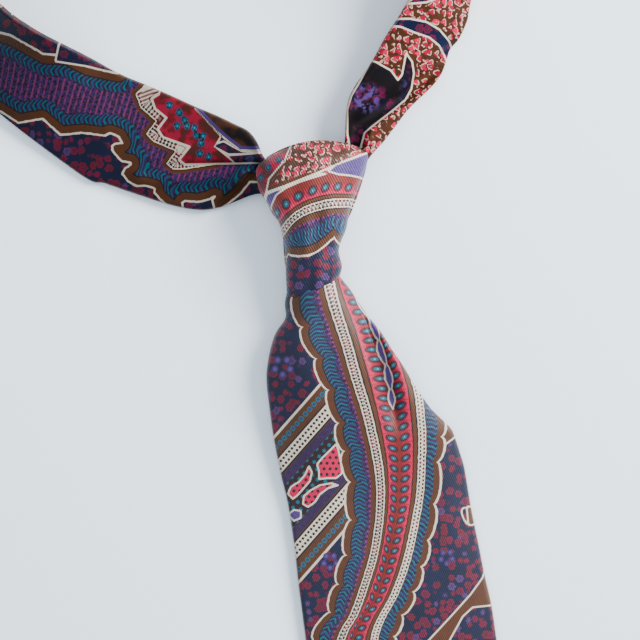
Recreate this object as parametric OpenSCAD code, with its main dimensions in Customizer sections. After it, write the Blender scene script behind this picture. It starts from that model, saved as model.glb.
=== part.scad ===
/* [Blade] */
// Length of the wide blade from the throat of the knot to its point
blade_length = 430; // [400:1:450]
// Greatest width of the wide blade, at the shoulders of its point
blade_width = 94; // [88:1:100]
// Width of the wide blade at its fold line
blade_mid_width = 79; // [74:1:82]
// Distance from the throat to the fold line of the wide blade
blade_fold = 176; // [165:1:190]

/* [Tail] */
// Length of the narrow tail from the throat of the knot to its point
tail_length = 390; // [370:1:395]
// Greatest width of the narrow tail
tail_width = 44; // [38:1:48]
// Width of the gathered tail where it runs through the knot
tail_throat_width = 12; // [10:1:12]

/* [Neck loop] */
// Width of the neck band at the left wing
band_width = 45; // [38:1:47]
// Width of the neck band at the nape
nape_width = 40; // [34:1:44]
// Thickness of the folded band
band_thickness = 2.8; // [2:0.1:2.8]

/* [Knot] */
// Depth of the knot from its back to its front
knot_depth = 24; // [23:0.5:26]
// Thickness of one layer of silk as it is built up in the knot
wrap_wall = 1.0; // [0.8:0.1:1.2]

/* [Construction] */
// Thickness of the silk wall of a folded blade
silk = 0.7; // [0.5:0.05:0.75]
// Half of the gap between the two back flaps at the centre seam
seam_gap = 0.5; // [0.4:0.05:0.8]
// Clearance round the interlining
ease = 0.1; // [0.05:0.01:0.15]
// Diameter of the sewing thread
thread = 0.45; // [0.3:0.05:0.45]
// Pitch of the slip stitches
stitch_pitch = 18; // [12:1:30]

/* [Hidden] */

// Middle of the outline, which becomes the origin
mid_x = -17.4;
mid_y = -148.3;
// Height of the underside of the blade, of the tail inside the knot and of the neck band
blade_z = 3.0;
tail_lift = 3.0;
tail_thick = 2.0;
band_z = 5.6;
// The throat of the knot
throat_x = -8.2;
throat_y = -24;
blade_tip_y = throat_y - blade_length;
tail_tip_y = throat_y - tail_length;
fold_y = throat_y - blade_fold;
// Line across the wings about which the neck loop tilts
tilt_y = 36;
gap = 0.35;

module placed() { translate([-mid_x, -mid_y, 0]) children(); }

// A plate with a plan outline between two heights
module plate(outline, z0, z1) { translate([0, 0, z0]) linear_extrude(z1 - z0) polygon(outline); }

// A bar across X whose Y-Z profile is given
module across(profile, x0 = -60, x1 = 60) {
    translate([x0, 0, 0]) rotate([90, 0, 90]) linear_extrude(x1 - x0) polygon(profile);
}

// ---------- Swept band: rings of a section carried along a path ----------
function ring_faces(n, m) = concat(
    [[for (i = [0:n - 1]) i]],
    [[for (i = [n - 1:-1:0]) (m - 1) * n + i]],
    [for (j = [0:m - 2], i = [0:n - 1]) let (a = j * n + i, b = j * n + (i + 1) % n) [a, b + n, b]],
    [for (j = [0:m - 2], i = [0:n - 1]) let (a = j * n + i, b = j * n + (i + 1) % n) [a, a + n, b + n]]);
module skin(rings) {
    polyhedron(points = [for (r = rings) each r], faces = ring_faces(len(rings[0]), len(rings)), convexity = 8);
}
// The same for an envelope section, whose end faces are laid out as strips round the open C
function envelope_faces(m) = concat(
    [for (i = [0:6]) [i, i + 1, 14 - i, 15 - i]],
    [for (i = [0:6]) [for (k = [15 - i, 14 - i, i + 1, i]) (m - 1) * 16 + k]],
    [for (j = [0:m - 2], i = [0:15]) let (a = j * 16 + i, b = j * 16 + (i + 1) % 16) [a, b + 16, b]],
    [for (j = [0:m - 2], i = [0:15]) let (a = j * 16 + i, b = j * 16 + (i + 1) % 16) [a, a + 16, b + 16]]);
module envelope_skin(rings) {
    polyhedron(points = [for (r = rings) each r], faces = envelope_faces(len(rings)), convexity = 8);
}
// Solid section with folded edges; u runs across the band, v through it
function core_section(a, b) = [[-a + 0.6 * b, -b], [a - 0.6 * b, -b], [a, 0], [a - 0.6 * b, b], [-a + 0.6 * b, b], [-a, 0]];
// Envelope section: one cloth folded round the band, its edges facing each other at the back seam
function envelope_section(a, b, c, g) = [
    [g, -b], [a - 0.6 * b, -b], [a, 0], [a - 0.6 * b, b], [-a + 0.6 * b, b], [-a, 0], [-a + 0.6 * b, -b], [-g, -b],
    [-g, -b + c], [-a + 0.6 * b + 0.6 * c, -b + c], [-a + 1.6 * c, 0], [-a + 0.6 * b + 0.6 * c, b - c],
    [a - 0.6 * b - 0.6 * c, b - c], [a - 1.6 * c, 0], [a - 0.6 * b - 0.6 * c, -b + c], [g, -b + c]];

// The neck loop: plan points, tilt of the band and half its width at each point
loop_pts = [[-20, 26], [-55, 45], [-88, 63], [-112, 86], [-118, 116], [-96, 142], [-55, 153],
            [-5, 156], [45, 152], [80, 137], [88, 112], [69, 88], [44, 58], [19, 27]];
loop_tilt = [0, 0, 4, 40, 78, 90, 90, 90, 90, 88, 72, 44, 16, 0];
bw = band_width / 2;
nw = nape_width / 2;
loop_half = [0.8 * bw, 0.95 * bw, bw, bw, bw, 0.97 * bw, nw, nw, nw, nw, nw, 0.97 * nw, 0.8 * nw, 0.6 * nw];
function lerp3(a, b, c, d, t) = 0.5 * (2 * b + (c - a) * t + (2 * a - 5 * b + 4 * c - d) * t * t + (3 * b - a - 3 * c + d) * t * t * t);
function pick(l, i) = l[min(max(i, 0), len(l) - 1)];
function along(l, s) = let (i = min(floor(s), len(l) - 2), t = s - i)
    lerp3(i == 0 ? 2 * l[0] - l[1] : l[i - 1], l[i], l[i + 1], i == len(l) - 2 ? 2 * l[i + 1] - l[i] : l[i + 2], t);
function blend_value(l, s) = let (i = min(floor(s), len(l) - 2), t = s - i) l[i] * (1 - t) + l[i + 1] * t;
function heading(s) = let (e = 0.02, a = along(loop_pts, max(s - e, 0)), b = along(loop_pts, min(s + e, 13)), d = b - a) d / norm(d);
// One ring of the band at path position s; the band tilts with its outer edge on the table
function band_ring(s, section) = let (
    p = along(loop_pts, s), h = heading(s), w = blend_value(loop_tilt, s),
    side = [-h[1] * cos(w), h[0] * cos(w), -sin(w)],
    face = [-h[1] * sin(w), h[0] * sin(w), cos(w)],
    k = blend_value([1, 1, 0.7, 0.15, 0, 0, 0, 0, 0, 0, 0, 0.25, 0.9, 1], s),
    zc = max(k * (band_z + band_thickness / 2), blend_value(loop_half, s) * sin(w) + band_thickness / 2 + 0.3))
    [for (q = section) [p[0] + q[0] * side[0] + q[1] * face[0],
                        p[1] + q[0] * side[1] + q[1] * face[1],
                        zc + q[0] * side[2] + q[1] * face[2]]];
function envelope_rings(s0, s1, n) = [for (i = [0:n]) let (s = s0 + (s1 - s0) * i / n)
    band_ring(s, envelope_section(blend_value(loop_half, s), band_thickness / 2, silk, seam_gap))];
// The interlining has clearance all round, a little more where the band turns on edge; it may stop short of the ends
function interlining_rings(s0, s1, n, extra = 0) = [for (i = [0:n]) let (s = s0 + extra + (s1 - s0 - 2 * extra) * i / n)
    band_ring(s, core_section(blend_value(loop_half, s) - 1.6 * silk - 2 * ease - 12 * extra, band_thickness / 2 - silk - ease - 7 * extra))];
// Path positions of the two seams that join the neck piece to the blades
left_join = 4.2;
right_join = 9.2;
join_half = 0.02;
left_start = 1.605;
// The right wing ends square, just clear of its root
right_end = 12.3;

// ---------- Knot ----------
knot_plan = [[-18.5, 29], [-22.5, 26.5], [-23, 22], [-20.5, 11.5], [-17.5, 3], [-17, -6.5], [-18, -14], [-19.5, -24],
             [3, -22], [3.2, -15], [5.5, -7], [9, -0.5], [13, 5.5], [17.5, 14.5], [21.5, 20.5], [23, 24],
             [17.5, 27.5], [11, 30.5], [5, 32], [-1, 32], [-7, 31.2], [-14.5, 30.4]];
// Knot mass, smaller all round by t, running on past both ends when t is above 0
module knot_mass(t) {
    run = t > 0 ? 12 : 0;
    intersection() {
        if (t > 0)
            plate([[-23 + t, 50], [-23 + t, 22], [-20.5 + t, 11.5], [-17.5 + t, 3], [-17 + t, -6.5], [-18 + t, -14], [-19.5 + t, -40],
                   [3 - t, -40], [3.2 - t, -15], [5.5 - t, -7], [9 - t, -0.5], [13 - t, 5.5], [17.5 - t, 14.5], [21.5 - t, 20.5], [23 - t, 24], [23 - t, 50]],
                  gap * 8, knot_depth);
        else
            plate(knot_plan, gap * 8, knot_depth);
        across([[-24 - run, 0], [-24 - run, knot_depth - 7.5 - t], [-10, knot_depth - 3 - t], [6, knot_depth - 0.4 - t],
                [18, knot_depth - t], [27, knot_depth - 2.5 - t], [32, knot_depth - 7 - t], [32 + run, knot_depth - 7 - t], [32 + run, 0]]);
        translate([-3, 4, knot_depth - 31]) rotate([0, 0, 8]) rotate([-90, 0, 0]) cylinder(r = 31 - t, h = 120, center = true, $fn = 96);
    }
}
// The wings leave the knot under its front wrap
module wing_exits() { translate([-60, 12.5, -1]) cube([120, 60, 11.2]); }

module knot_front_wrap() color("#3a2c40") placed() difference() {
    knot_mass(0);
    knot_mass(wrap_wall);
    wing_exits();
}
module knot_front_interlining() color("#d9d2c2") placed() difference() {
    intersection() { knot_mass(wrap_wall + 0.05); plate(knot_plan, 0, 40); translate([-50, -23, 0]) cube([100, 54, 40]); }
    knot_mass(wrap_wall + 1.2);
    wing_exits();
}
module knot_inner_wrap() color("#5c2238") placed() intersection() {
    knot_mass(wrap_wall + 1.35);
    across([[-1, 9.2], [29, 9.2], [29, 13.8], [-1, 13.8]]);
}
module blade_throat() color("#23294a") placed() intersection() {
    knot_mass(wrap_wall + 1.35);
    across([[-23.6, 6.2], [-10, 6.2], [-7, 14.2], [26, 14.2], [24, 19], [-8, 19], [-23.6, 13.6]]);
}
module knot_back_wrap() color("#4a1f2a") placed() difference() {
    plate([[-21, 24], [-20, 10], [-17, 2], [-17, -18], [0, -18], [4, -8], [13, 5], [21, 20], [21, 26], [10, 30], [-16, 29]], 0, 2.5);
    for (y = [-6, 8]) translate([-40, y, 2.2]) rotate([0, 0, 12]) cube([80, 0.8, 2]);
}

// ---------- Neck loop ----------
left_root_plan = [[-14, -2], [-4.5, -2], [-3, 12], [-3, 30], [-10, 36], [-84, 36], [-80, 33], [-64, 22.5], [-50, 17], [-44, 15.5], [-30, 16], [-20.5, 16], [-16, 12.8], [-15, 9]];
right_root_plan = [[-3.5, -2], [5, -2], [8.5, 4], [14, 14], [17, 21], [24, 24.5], [46.3, 38.6], [24.6, 55.6], [9, 36], [-2, 30], [-2, 12]];
module left_wing_root() color("#3b2b52") placed() plate(left_root_plan, band_z, band_z + band_thickness);
module right_wing_root() color("#6b4426") placed() plate(right_root_plan, band_z, band_z + band_thickness);

// The left wing is flat from the tilt line to its first ring, and swept from there
left_fold_plan = [[-19, tilt_y + gap], [-20.6, 39.3], [-27.5, 45.6], [-34, 50.5], [-49, 61], [-64.7, 75.4], [-85.9, tilt_y + gap + 0.45], [-85.5, tilt_y + gap]];
module left_wing_fold() color("#7a2a4a") placed() plate(left_fold_plan, band_z, band_z + band_thickness);
module left_wing_shell() color("#7a2a4a") placed() skin(envelope_rings(left_start, left_join - join_half, 18));
module left_wing_interlining() color("#d9d2c2") placed() skin(interlining_rings(left_start, left_join - join_half, 18));
module neck_band_shell() color("#1b2340") placed() envelope_skin(envelope_rings(left_join + join_half, right_join - join_half, 42));
module neck_band_interlining() color("#d9d2c2") placed() skin(interlining_rings(left_join + join_half, right_join - join_half, 42, 0.045));
module right_wing_shell() color("#5a3a24") placed() skin(envelope_rings(right_join + join_half, right_end, 16));
module right_wing_interlining() color("#d9d2c2") placed() skin(interlining_rings(right_join + join_half, right_end, 16));
// The pressed seam where two lengths of silk are joined on the bias
module left_join_seam() color("#151a30") placed() envelope_skin(envelope_rings(left_join - join_half, left_join + join_half, 1));
module right_join_seam() color("#151a30") placed() envelope_skin(envelope_rings(right_join - join_half, right_join + join_half, 1));
// Slip stitches lie in the seam between the two back flaps
module neck_slip_stitch() color("#20284a") placed() for (s = [4.6:0.5:8.9])
    skin([for (d = [0, 0.06, 0.12]) band_ring(s + d, [for (q = core_section(thread * 0.6, thread / 2)) [q[0], q[1] - band_thickness / 2 + thread * 0.75]])]);

// ---------- Wide blade ----------
hm = blade_mid_width / 2;
hb = blade_width / 2;
upper_top = [[-26, 15.5], [-40, 13], [-50, 11], [-63, 9.4], [-76, 8.2], [-90, 7], [-110, 6]];
upper_bottom = [[-90, 3], [-26, 7.9]];
function upper_profile(c) = concat([for (q = upper_top) [q[0], q[1] - c]], [[fold_y - 3, 6 - c], [fold_y - 3, blade_z + c]], [for (q = upper_bottom) [q[0], q[1] + c]]);
function upper_plan(c) = [[-20 + c, throat_y - 1.2], [-21 + c, -33], [-27 + c, -39.5], [-31 + c, -47.5], [-34 + c, -57], [-35 + c, -70], [-35.2 + c, -95],
    [-36 + c, -130], [-hm + c, fold_y + gap], [hm - c, fold_y + gap], [37.6 - c, -140], [37.2 - c, -105], [35.6 - c, -92], [31 - c, -85], [25 - c, -76],
    [19 - c, -63], [13.6 - c, -49], [10.5 - c, -40], [7.5 - c, -32], [4 - c, throat_y - 1.2]];
// The dimple pressed into the blade under the knot
module dimple(t) {
    translate([11, -24, 15.5]) rotate([0, 0, -165.5]) rotate([5.2, 0, 0]) rotate([0, 45, 0]) translate([-2.6 - t, -8, -2.6 - t]) cube([5.2 + 2 * t, 80, 5.2 + 2 * t]);
}
module upper_layer(c) { intersection() { plate(upper_plan(c), 0, 20); across(upper_profile(c)); } }
module back_seam_slit(y0, y1) { translate([-seam_gap, y1, blade_z - 0.5]) cube([2 * seam_gap, y0 - y1, 0.5 + silk + 0.01]); }
module blade_upper_shell() color("#1b2340") placed() difference() {
    upper_layer(0);
    difference() {
        intersection() { upper_layer(silk); translate([-60, fold_y - 5, 0]) cube([120, 200, 30]); }
        dimple(silk);
    }
    translate([0, gap + 0.6, 0]) intersection() { upper_layer(silk); translate([-60, fold_y - 2, 0]) cube([120, 3, 30]); }
    translate([0, -1, 0]) intersection() { upper_layer(silk); translate([-60, fold_y - 2, 0]) cube([120, 3, 30]); }
    dimple(0);
    back_seam_slit(-96, fold_y - 5);
}
module blade_upper_interlining() color("#d9d2c2") placed() difference() {
    upper_layer(silk + ease);
    dimple(silk + ease);
}
module blade_upper_slip_stitch() color("#20284a") placed() for (y = [-104:-stitch_pitch:fold_y + 10])
    translate([0, y, blade_z + silk / 2]) rotate([90, 0, 0]) cylinder(d = thread, h = 7, $fn = 16);

function lower_plan(c, top = 0) = [[-hm + c, fold_y - gap + top], [-hb + c, blade_tip_y + hb + 0.4 * c], [0, blade_tip_y + 1.42 * c], [hb - c, blade_tip_y + hb + 0.4 * c], [hm - c, fold_y - gap + top]];
// Where the back flaps part and show the tipping
flap_y = blade_tip_y + 78;
function tipping_plan(c) = [[0, flap_y - 2.6 * c], [-hb + 5 + c, blade_tip_y + hb + 1 + c], [-hb + 5 + c, blade_tip_y + hb - 3], [0, blade_tip_y + 6 + 1.42 * c], [hb - 5 - c, blade_tip_y + hb - 3], [hb - 5 - c, blade_tip_y + hb + 1 + c]];
module blade_lower_shell() color("#1b2340") placed() difference() {
    plate(lower_plan(0), blade_z, blade_z + 3);
    plate(lower_plan(silk, 1), blade_z + silk, blade_z + 3 - silk);
    translate([-seam_gap, flap_y - 2, blade_z - 0.5]) cube([2 * seam_gap, fold_y - flap_y + 5, 0.5 + silk + 0.01]);
    plate(tipping_plan(0), blade_z - 0.5, blade_z + silk + 0.01);
}
module blade_lower_interlining() color("#d9d2c2") placed() plate(lower_plan(silk + ease), blade_z + silk + ease, blade_z + 3 - silk - ease);
module blade_tipping() color("#7a1f3a") placed() plate(tipping_plan(ease), blade_z + 0.1, blade_z + silk);
module blade_lower_slip_stitch() color("#20284a") placed() for (y = [fold_y - 12:-stitch_pitch:flap_y + 16])
    translate([0, y, blade_z + silk / 2]) rotate([90, 0, 0]) cylinder(d = thread, h = 7, $fn = 16);
// A dense bar of thread across the seam where the flaps part
module bar_tack(y, z, w, n) for (i = [0:n - 1]) translate([0, y + i * thread * 1.15, z]) rotate([0, 90, 0]) cylinder(d = thread, h = w, center = true, $fn = 16);
module blade_bar_tack() color("#20284a") placed() bar_tack(flap_y + 5, blade_z - thread / 2 - 0.02, 9, 4);

// The keeper is a band of the same silk, sewn down at its two ends
keeper_y = fold_y - 62;
module keeper_loop() color("#1b2340") placed() plate([[-30, keeper_y], [30, keeper_y], [30, keeper_y + 13], [-30, keeper_y + 13]], 2.38, 2.94);
module keeper_stitches() color("#20284a") placed() for (x = [-28, 28]) for (i = [0:4])
    translate([x, keeper_y + 2 + i * 2.2, 2.38 - 0.17]) rotate([0, 90, 0]) cylinder(d = 0.3, h = 3, center = true, $fn = 16);
// A small blank care label
module care_label() color("#efece4") placed() plate([[-9, keeper_y - 34], [9, keeper_y - 34], [9, keeper_y - 18], [-9, keeper_y - 18]], 2.5, 2.9);
module care_label_stitches() color("#d8d4c8") placed() for (i = [0:3])
    translate([-6 + i * 4, keeper_y - 19.5, 2.5 - 0.16]) rotate([0, 90, 0]) cylinder(d = 0.28, h = 2.4, center = true, $fn = 16);

// ---------- Tail ----------
ht = tail_width / 2;
tt = tail_throat_width / 2;
function tail_plan(c) = [[throat_x - tt + c, throat_y + 10], [throat_x - tt + c, -58], [-18 + c, -76], [-20 + c, -110], [-20.5 + c, -200], [-ht + c, tail_tip_y + ht + 0.4 * c],
    [0, tail_tip_y + 1.42 * c], [ht - c, tail_tip_y + ht + 0.4 * c], [20.5 - c, -200], [18.5 - c, -110], [8 - c, -76], [throat_x + tt - c, -58], [throat_x + tt - c, throat_y + 10]];
function tail_profile(c) = [[throat_y + 12, tail_lift + 2.2 - c], [-58, tail_lift + 2.2 - c], [-90, tail_thick - c], [tail_tip_y - 5, tail_thick - c],
    [tail_tip_y - 5, c], [-90, c], [-58, tail_lift + c], [throat_y + 12, tail_lift + c]];
tail_flap_y = tail_tip_y + 40;
module tail_layer(c) { intersection() { plate(tail_plan(c), -1, 8); across(tail_profile(c)); } }
function tail_tipping_plan(c) = [[0, tail_flap_y - 2.6 * c], [-ht + 4 + c, tail_tip_y + ht + 1 + c], [-ht + 4 + c, tail_tip_y + ht - 2], [0, tail_tip_y + 4 + 1.42 * c], [ht - 4 - c, tail_tip_y + ht - 2], [ht - 4 - c, tail_tip_y + ht + 1 + c]];
tsilk = 0.5;
// The gathered neck of the tail, inside and just below the knot, is one piece; the flat tail below it is another
tail_neck_y = -92;
module tail_part(lower) { translate([-60, lower ? tail_tip_y - 10 : tail_neck_y, -2]) cube([120, lower ? tail_neck_y - tail_tip_y + 10 : 200, 14]); }
module tail_case() difference() {
    tail_layer(0);
    tail_layer(tsilk);
    translate([0, 1, 0]) intersection() { tail_layer(tsilk); translate([-30, throat_y + 8, 0]) cube([60, 4, 10]); }
    translate([-seam_gap, tail_flap_y - 2, -0.5]) cube([2 * seam_gap, -100 - tail_flap_y, 0.5 + tsilk + 0.01]);
    plate(tail_tipping_plan(0), -0.5, tsilk + 0.01);
}
module tail_neck_shell() color("#2a2a48") placed() intersection() { tail_case(); tail_part(false); }
module tail_shell() color("#2a2a48") placed() intersection() { tail_case(); tail_part(true); }
module tail_neck_interlining() color("#d9d2c2") placed() intersection() { tail_layer(tsilk + ease); tail_part(false); }
module tail_interlining() color("#d9d2c2") placed() intersection() { tail_layer(tsilk + ease); tail_part(true); }
module tail_slip_stitch() color("#20284a") placed() for (y = [-110:-stitch_pitch * 1.5:tail_flap_y + 12])
    translate([0, y, tsilk / 2 + 0.02]) rotate([90, 0, 0]) cylinder(d = thread * 0.9, h = 6, $fn = 16);
module tail_tipping() color("#7a1f3a") placed() plate(tail_tipping_plan(ease), 0.1, tsilk);
module tail_bar_tack() color("#20284a") placed() intersection() { bar_tack(tail_flap_y + 3, 0.25, 0.9, 4); translate([-5, tail_flap_y, 0.01]) cube([10, 8, 0.48]); }

knot_front_wrap();
knot_front_interlining();
knot_inner_wrap();
knot_back_wrap();
blade_throat();
left_wing_root();
right_wing_root();
left_wing_fold();
left_wing_shell();
left_wing_interlining();
neck_band_shell();
neck_band_interlining();
right_wing_shell();
right_wing_interlining();
left_join_seam();
right_join_seam();
neck_slip_stitch();
blade_upper_shell();
blade_upper_interlining();
blade_upper_slip_stitch();
blade_lower_shell();
blade_lower_interlining();
blade_lower_slip_stitch();
blade_tipping();
blade_bar_tack();
keeper_loop();
keeper_stitches();
care_label();
care_label_stitches();
tail_neck_shell();
tail_neck_interlining();
tail_shell();
tail_interlining();
tail_slip_stitch();
tail_tipping();
tail_bar_tack();
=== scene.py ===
import math
import bpy
import numpy as np
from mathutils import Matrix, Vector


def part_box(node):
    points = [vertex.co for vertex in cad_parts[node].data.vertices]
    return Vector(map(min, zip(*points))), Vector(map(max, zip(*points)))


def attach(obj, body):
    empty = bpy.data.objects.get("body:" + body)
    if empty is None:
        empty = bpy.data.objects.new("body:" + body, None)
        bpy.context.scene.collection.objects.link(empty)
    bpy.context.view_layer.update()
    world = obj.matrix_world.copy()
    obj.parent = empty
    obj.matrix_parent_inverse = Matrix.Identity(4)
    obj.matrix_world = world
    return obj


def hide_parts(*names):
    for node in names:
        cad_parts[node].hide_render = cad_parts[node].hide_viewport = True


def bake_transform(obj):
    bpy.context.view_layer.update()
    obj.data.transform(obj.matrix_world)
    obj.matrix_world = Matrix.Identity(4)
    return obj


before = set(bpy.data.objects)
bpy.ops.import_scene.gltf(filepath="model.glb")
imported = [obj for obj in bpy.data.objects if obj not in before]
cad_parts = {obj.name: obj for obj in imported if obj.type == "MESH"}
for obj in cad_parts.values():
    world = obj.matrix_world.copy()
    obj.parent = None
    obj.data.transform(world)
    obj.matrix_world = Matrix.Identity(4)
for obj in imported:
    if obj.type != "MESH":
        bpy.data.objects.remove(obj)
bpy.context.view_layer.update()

# ---------------------------------------------------------------- frame
# Drawing coordinates: x to the right and y down, one unit is 0.4 mm, turned 10.5 degrees against the tie's own axis.
UNIT = 0.4
TURN = math.radians(10.5)
CT, ST = math.cos(TURN), math.sin(TURN)
_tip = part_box("tail_tipping")
OX = 500.0 * (_tip[0][0] + _tip[1][0])
OY = 1000.0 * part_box("blade_upper_shell")[1][1] + 25.2


def to_part(px, py):
    r = (np.asarray(px, float) - 324.0) * UNIT
    u = (225.0 - np.asarray(py, float)) * UNIT
    return OX + r * CT + u * ST, OY - r * ST + u * CT


def to_draw(x, y):
    x = (np.asarray(x, float) - OX) / UNIT
    y = (np.asarray(y, float) - OY) / UNIT
    return 324.0 + x * CT - y * ST, 225.0 - (x * ST + y * CT)


# ---------------------------------------------------------------- camera, light and floor
def look(obj, direction, up):
    from mathutils import Matrix, Vector
    z = -Vector(direction).normalized()
    x = Vector(up).cross(z).normalized()
    y = z.cross(x)
    obj.matrix_world = Matrix.Translation(obj.location) @ Matrix((x, y, z)).transposed().to_4x4()


cam_data = bpy.data.cameras.new("camera")
cam = bpy.data.objects.new("camera", cam_data)
bpy.context.scene.collection.objects.link(cam)
ccx, ccy = to_part(320.0, 320.0)
cam.location = (float(ccx) / 1000, float(ccy) / 1000, 0.9)
cam_data.sensor_width = 36.0
cam_data.lens = 36.0 * 0.9 / (640 * UNIT / 1000)
cam_data.clip_end = 20.0
cam_data.dof.use_dof = False
look(cam, (0, 0, -1), (ST, CT, 0))
bpy.context.scene.camera = cam


def light(name, loc, target, size, power, color):
    from mathutils import Vector
    d = bpy.data.lights.new(name, "AREA")
    d.shape = "DISK"
    d.size = size
    d.energy = power
    d.color = color
    o = bpy.data.objects.new(name, d)
    bpy.context.scene.collection.objects.link(o)
    o.location = loc
    v = Vector(target) - Vector(loc)
    look(o, v, (0.01, 0.02, 1.0))
    return o


TARGET = (float(ccx) / 1000, float(ccy) / 1000, 0.0)
light("window", (1.05, 0.50, 0.66), TARGET, 0.7, 56.0, (0.97, 0.985, 1.0))
light("sky_fill", (-0.5, 0.5, 1.8), TARGET, 2.2, 17.0, (0.90, 0.95, 1.0))
world = bpy.data.worlds.new("world")
bpy.context.scene.world = world
world.use_nodes = True
world.node_tree.nodes["Background"].inputs["Color"].default_value = (0.74, 0.87, 1.0, 1)
world.node_tree.nodes["Background"].inputs["Strength"].default_value = 1.08


def srgb(r, g, b):
    def f(c):
        c /= 255.0
        return c / 12.92 if c <= 0.04045 else ((c + 0.055) / 1.055) ** 2.4
    return (f(r), f(g), f(b), 1.0)


floor_mesh = bpy.data.meshes.new("floor")
floor_mesh.from_pydata([(-4, -4, -0.0004), (4, -4, -0.0004), (4, 4, -0.0004), (-4, 4, -0.0004)], [], [(0, 1, 2, 3)])
floor = bpy.data.objects.new("floor", floor_mesh)
bpy.context.scene.collection.objects.link(floor)
floor_mat = bpy.data.materials.new("floor_paint")
floor_mat.use_nodes = True
_p = floor_mat.node_tree.nodes["Principled BSDF"]
_p.inputs["Base Color"].default_value = srgb(238, 246, 252)
_p.inputs["Roughness"].default_value = 0.6
floor_mesh.materials.append(floor_mat)


# ---------------------------------------------------------------- curves
def spline(pts, n):
    """n points along a Catmull-Rom curve through pts, evenly spread by chord length."""
    p = np.asarray(pts, float)
    d = np.r_[0, np.cumsum(np.linalg.norm(np.diff(p, axis=0), axis=1) ** 0.7)]
    q = np.vstack([2 * p[0] - p[1], p, 2 * p[-1] - p[-2]])
    t = np.linspace(0, d[-1], n)
    i = np.clip(np.searchsorted(d, t, side="right") - 1, 0, len(p) - 2)
    f = ((t - d[i]) / (d[i + 1] - d[i]))[:, None]
    a, b, c, e = q[i], q[i + 1], q[i + 2], q[i + 3]
    return 0.5 * (2 * b + (c - a) * f + (2 * a - 5 * b + 4 * c - e) * f ** 2 + (3 * b - a - 3 * c + e) * f ** 3)


def smooth(a, b, x):
    t = np.clip((np.asarray(x, float) - a) / (b - a), 0, 1)
    return t * t * (3 - 2 * t)


def curve_at(pts, at, axis=1):
    """Value of the other coordinate of a drawn curve where the given coordinate is at."""
    p = np.asarray(pts, float)
    k = spline(p, 400)
    a, b = (k[:, 1], k[:, 0]) if axis == 1 else (k[:, 0], k[:, 1])
    o = np.argsort(a)
    a, b = a[o], b[o]
    at = np.asarray(at, float)
    v = np.interp(at, a, b)
    lo = (b[12] - b[0]) / (a[12] - a[0] + 1e-9)
    hi = (b[-1] - b[-13]) / (a[-1] - a[-13] + 1e-9)
    return v + np.where(at < a[0], (at - a[0]) * lo, 0) + np.where(at > a[-1], (at - a[-1]) * hi, 0)


def polygon_sd(poly, x, y):
    """Signed distance to a closed polygon, below 0 inside."""
    p = np.asarray(poly, float)
    d = np.full(x.shape, 1e9)
    inside = np.zeros(x.shape, bool)
    for (ax, ay), (bx, by) in zip(p, np.roll(p, -1, 0)):
        ex, ey = bx - ax, by - ay
        wx, wy = x - ax, y - ay
        h = np.clip((wx * ex + wy * ey) / (ex * ex + ey * ey + 1e-12), 0, 1)
        d = np.minimum(d, np.hypot(wx - ex * h, wy - ey * h))
        c = ((ay > y) != (by > y)) & (x < ex * (y - ay) / (ey + (1e-12 if ey == 0 else 0)) + ax)
        inside ^= c
    return np.where(inside, -d, d)


def line_sd(poly, x, y):
    """Signed distance to an open line (sign by side) and the length along it."""
    p = np.asarray(poly, float)
    best = np.full(x.shape, 1e9)
    sign = np.ones(x.shape)
    along = np.zeros(x.shape)
    run = 0.0
    for (ax, ay), (bx, by) in zip(p[:-1], p[1:]):
        ex, ey = bx - ax, by - ay
        L = math.hypot(ex, ey)
        wx, wy = x - ax, y - ay
        h = np.clip((wx * ex + wy * ey) / (L * L), 0, 1)
        d = np.hypot(wx - ex * h, wy - ey * h)
        s = np.sign(ex * wy - ey * wx)
        m = d < best - 1e-6
        best = np.where(m, d, best)
        sign = np.where(m, s, sign)
        along = np.where(m, run + h * L, along)
        run += L
    return best * sign, along


def smooth_poly(pts, n=90, closed=True):
    p = [tuple(q) for q in pts]
    if closed:
        k = spline(p[-2:] + p + p[:2], n)
        return k
    return spline(p, n)


# ---------------------------------------------------------------- pattern
# The sash: bands between drawn curves.  t is the place across it: 0 the left scalloped outline, 26..36 the first
# pale dotted band, 54 the spine, 73..81 the second dotted band, 99 the right scalloped outline.
K0 = [(292, 270), (295, 293), (302.8, 327), (316.6, 358), (328.6, 389), (338.4, 422), (344.4, 450), (350.4, 481), (351, 519), (346.2, 554), (338.4, 583), (330.4, 611), (314, 643)]
K1 = [(320, 270), (323, 285), (329, 308), (340.7, 343.5), (351, 379), (361.4, 412), (370.5, 450), (374.6, 474), (375.9, 500), (373.9, 526), (369, 554.5), (361, 581), (350.4, 611), (336, 642)]
K3 = [(346, 268), (355, 293), (375, 328), (380, 349), (388, 373), (392.4, 408), (397, 435), (399, 454), (397.5, 499), (393, 529), (387, 558), (381.5, 579), (373, 600), (364, 612), (352, 640)]
K4 = [(362, 268), (374, 295), (390, 328), (402, 356), (410, 379), (414.4, 396), (417.6, 430), (417.6, 457), (416, 490), (411, 521), (403, 557), (391, 591), (371, 634)]
K6 = [(382, 268), (394, 295), (412, 328), (424, 356), (433, 385), (438, 410), (440, 436), (436, 461.5), (434, 490), (430, 520), (421, 560), (410, 595), (393, 633.6)]
# Further down the sash swings across the blade again, to and fro
AX = lambda y: 324.0 + (y - 225.0) * 0.1853
FAR = [(700, -62), (760, -62), (830, -42), (900, -10), (970, 14), (1040, 16), (1110, -4), (1180, -34), (1250, -62), (1320, -92), (1400, -130)]
_far = [(AX(y) + o, y) for y, o in FAR]


def carry(k, off):
    return list(k) + [(x + off, y) for x, y in _far]


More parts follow.
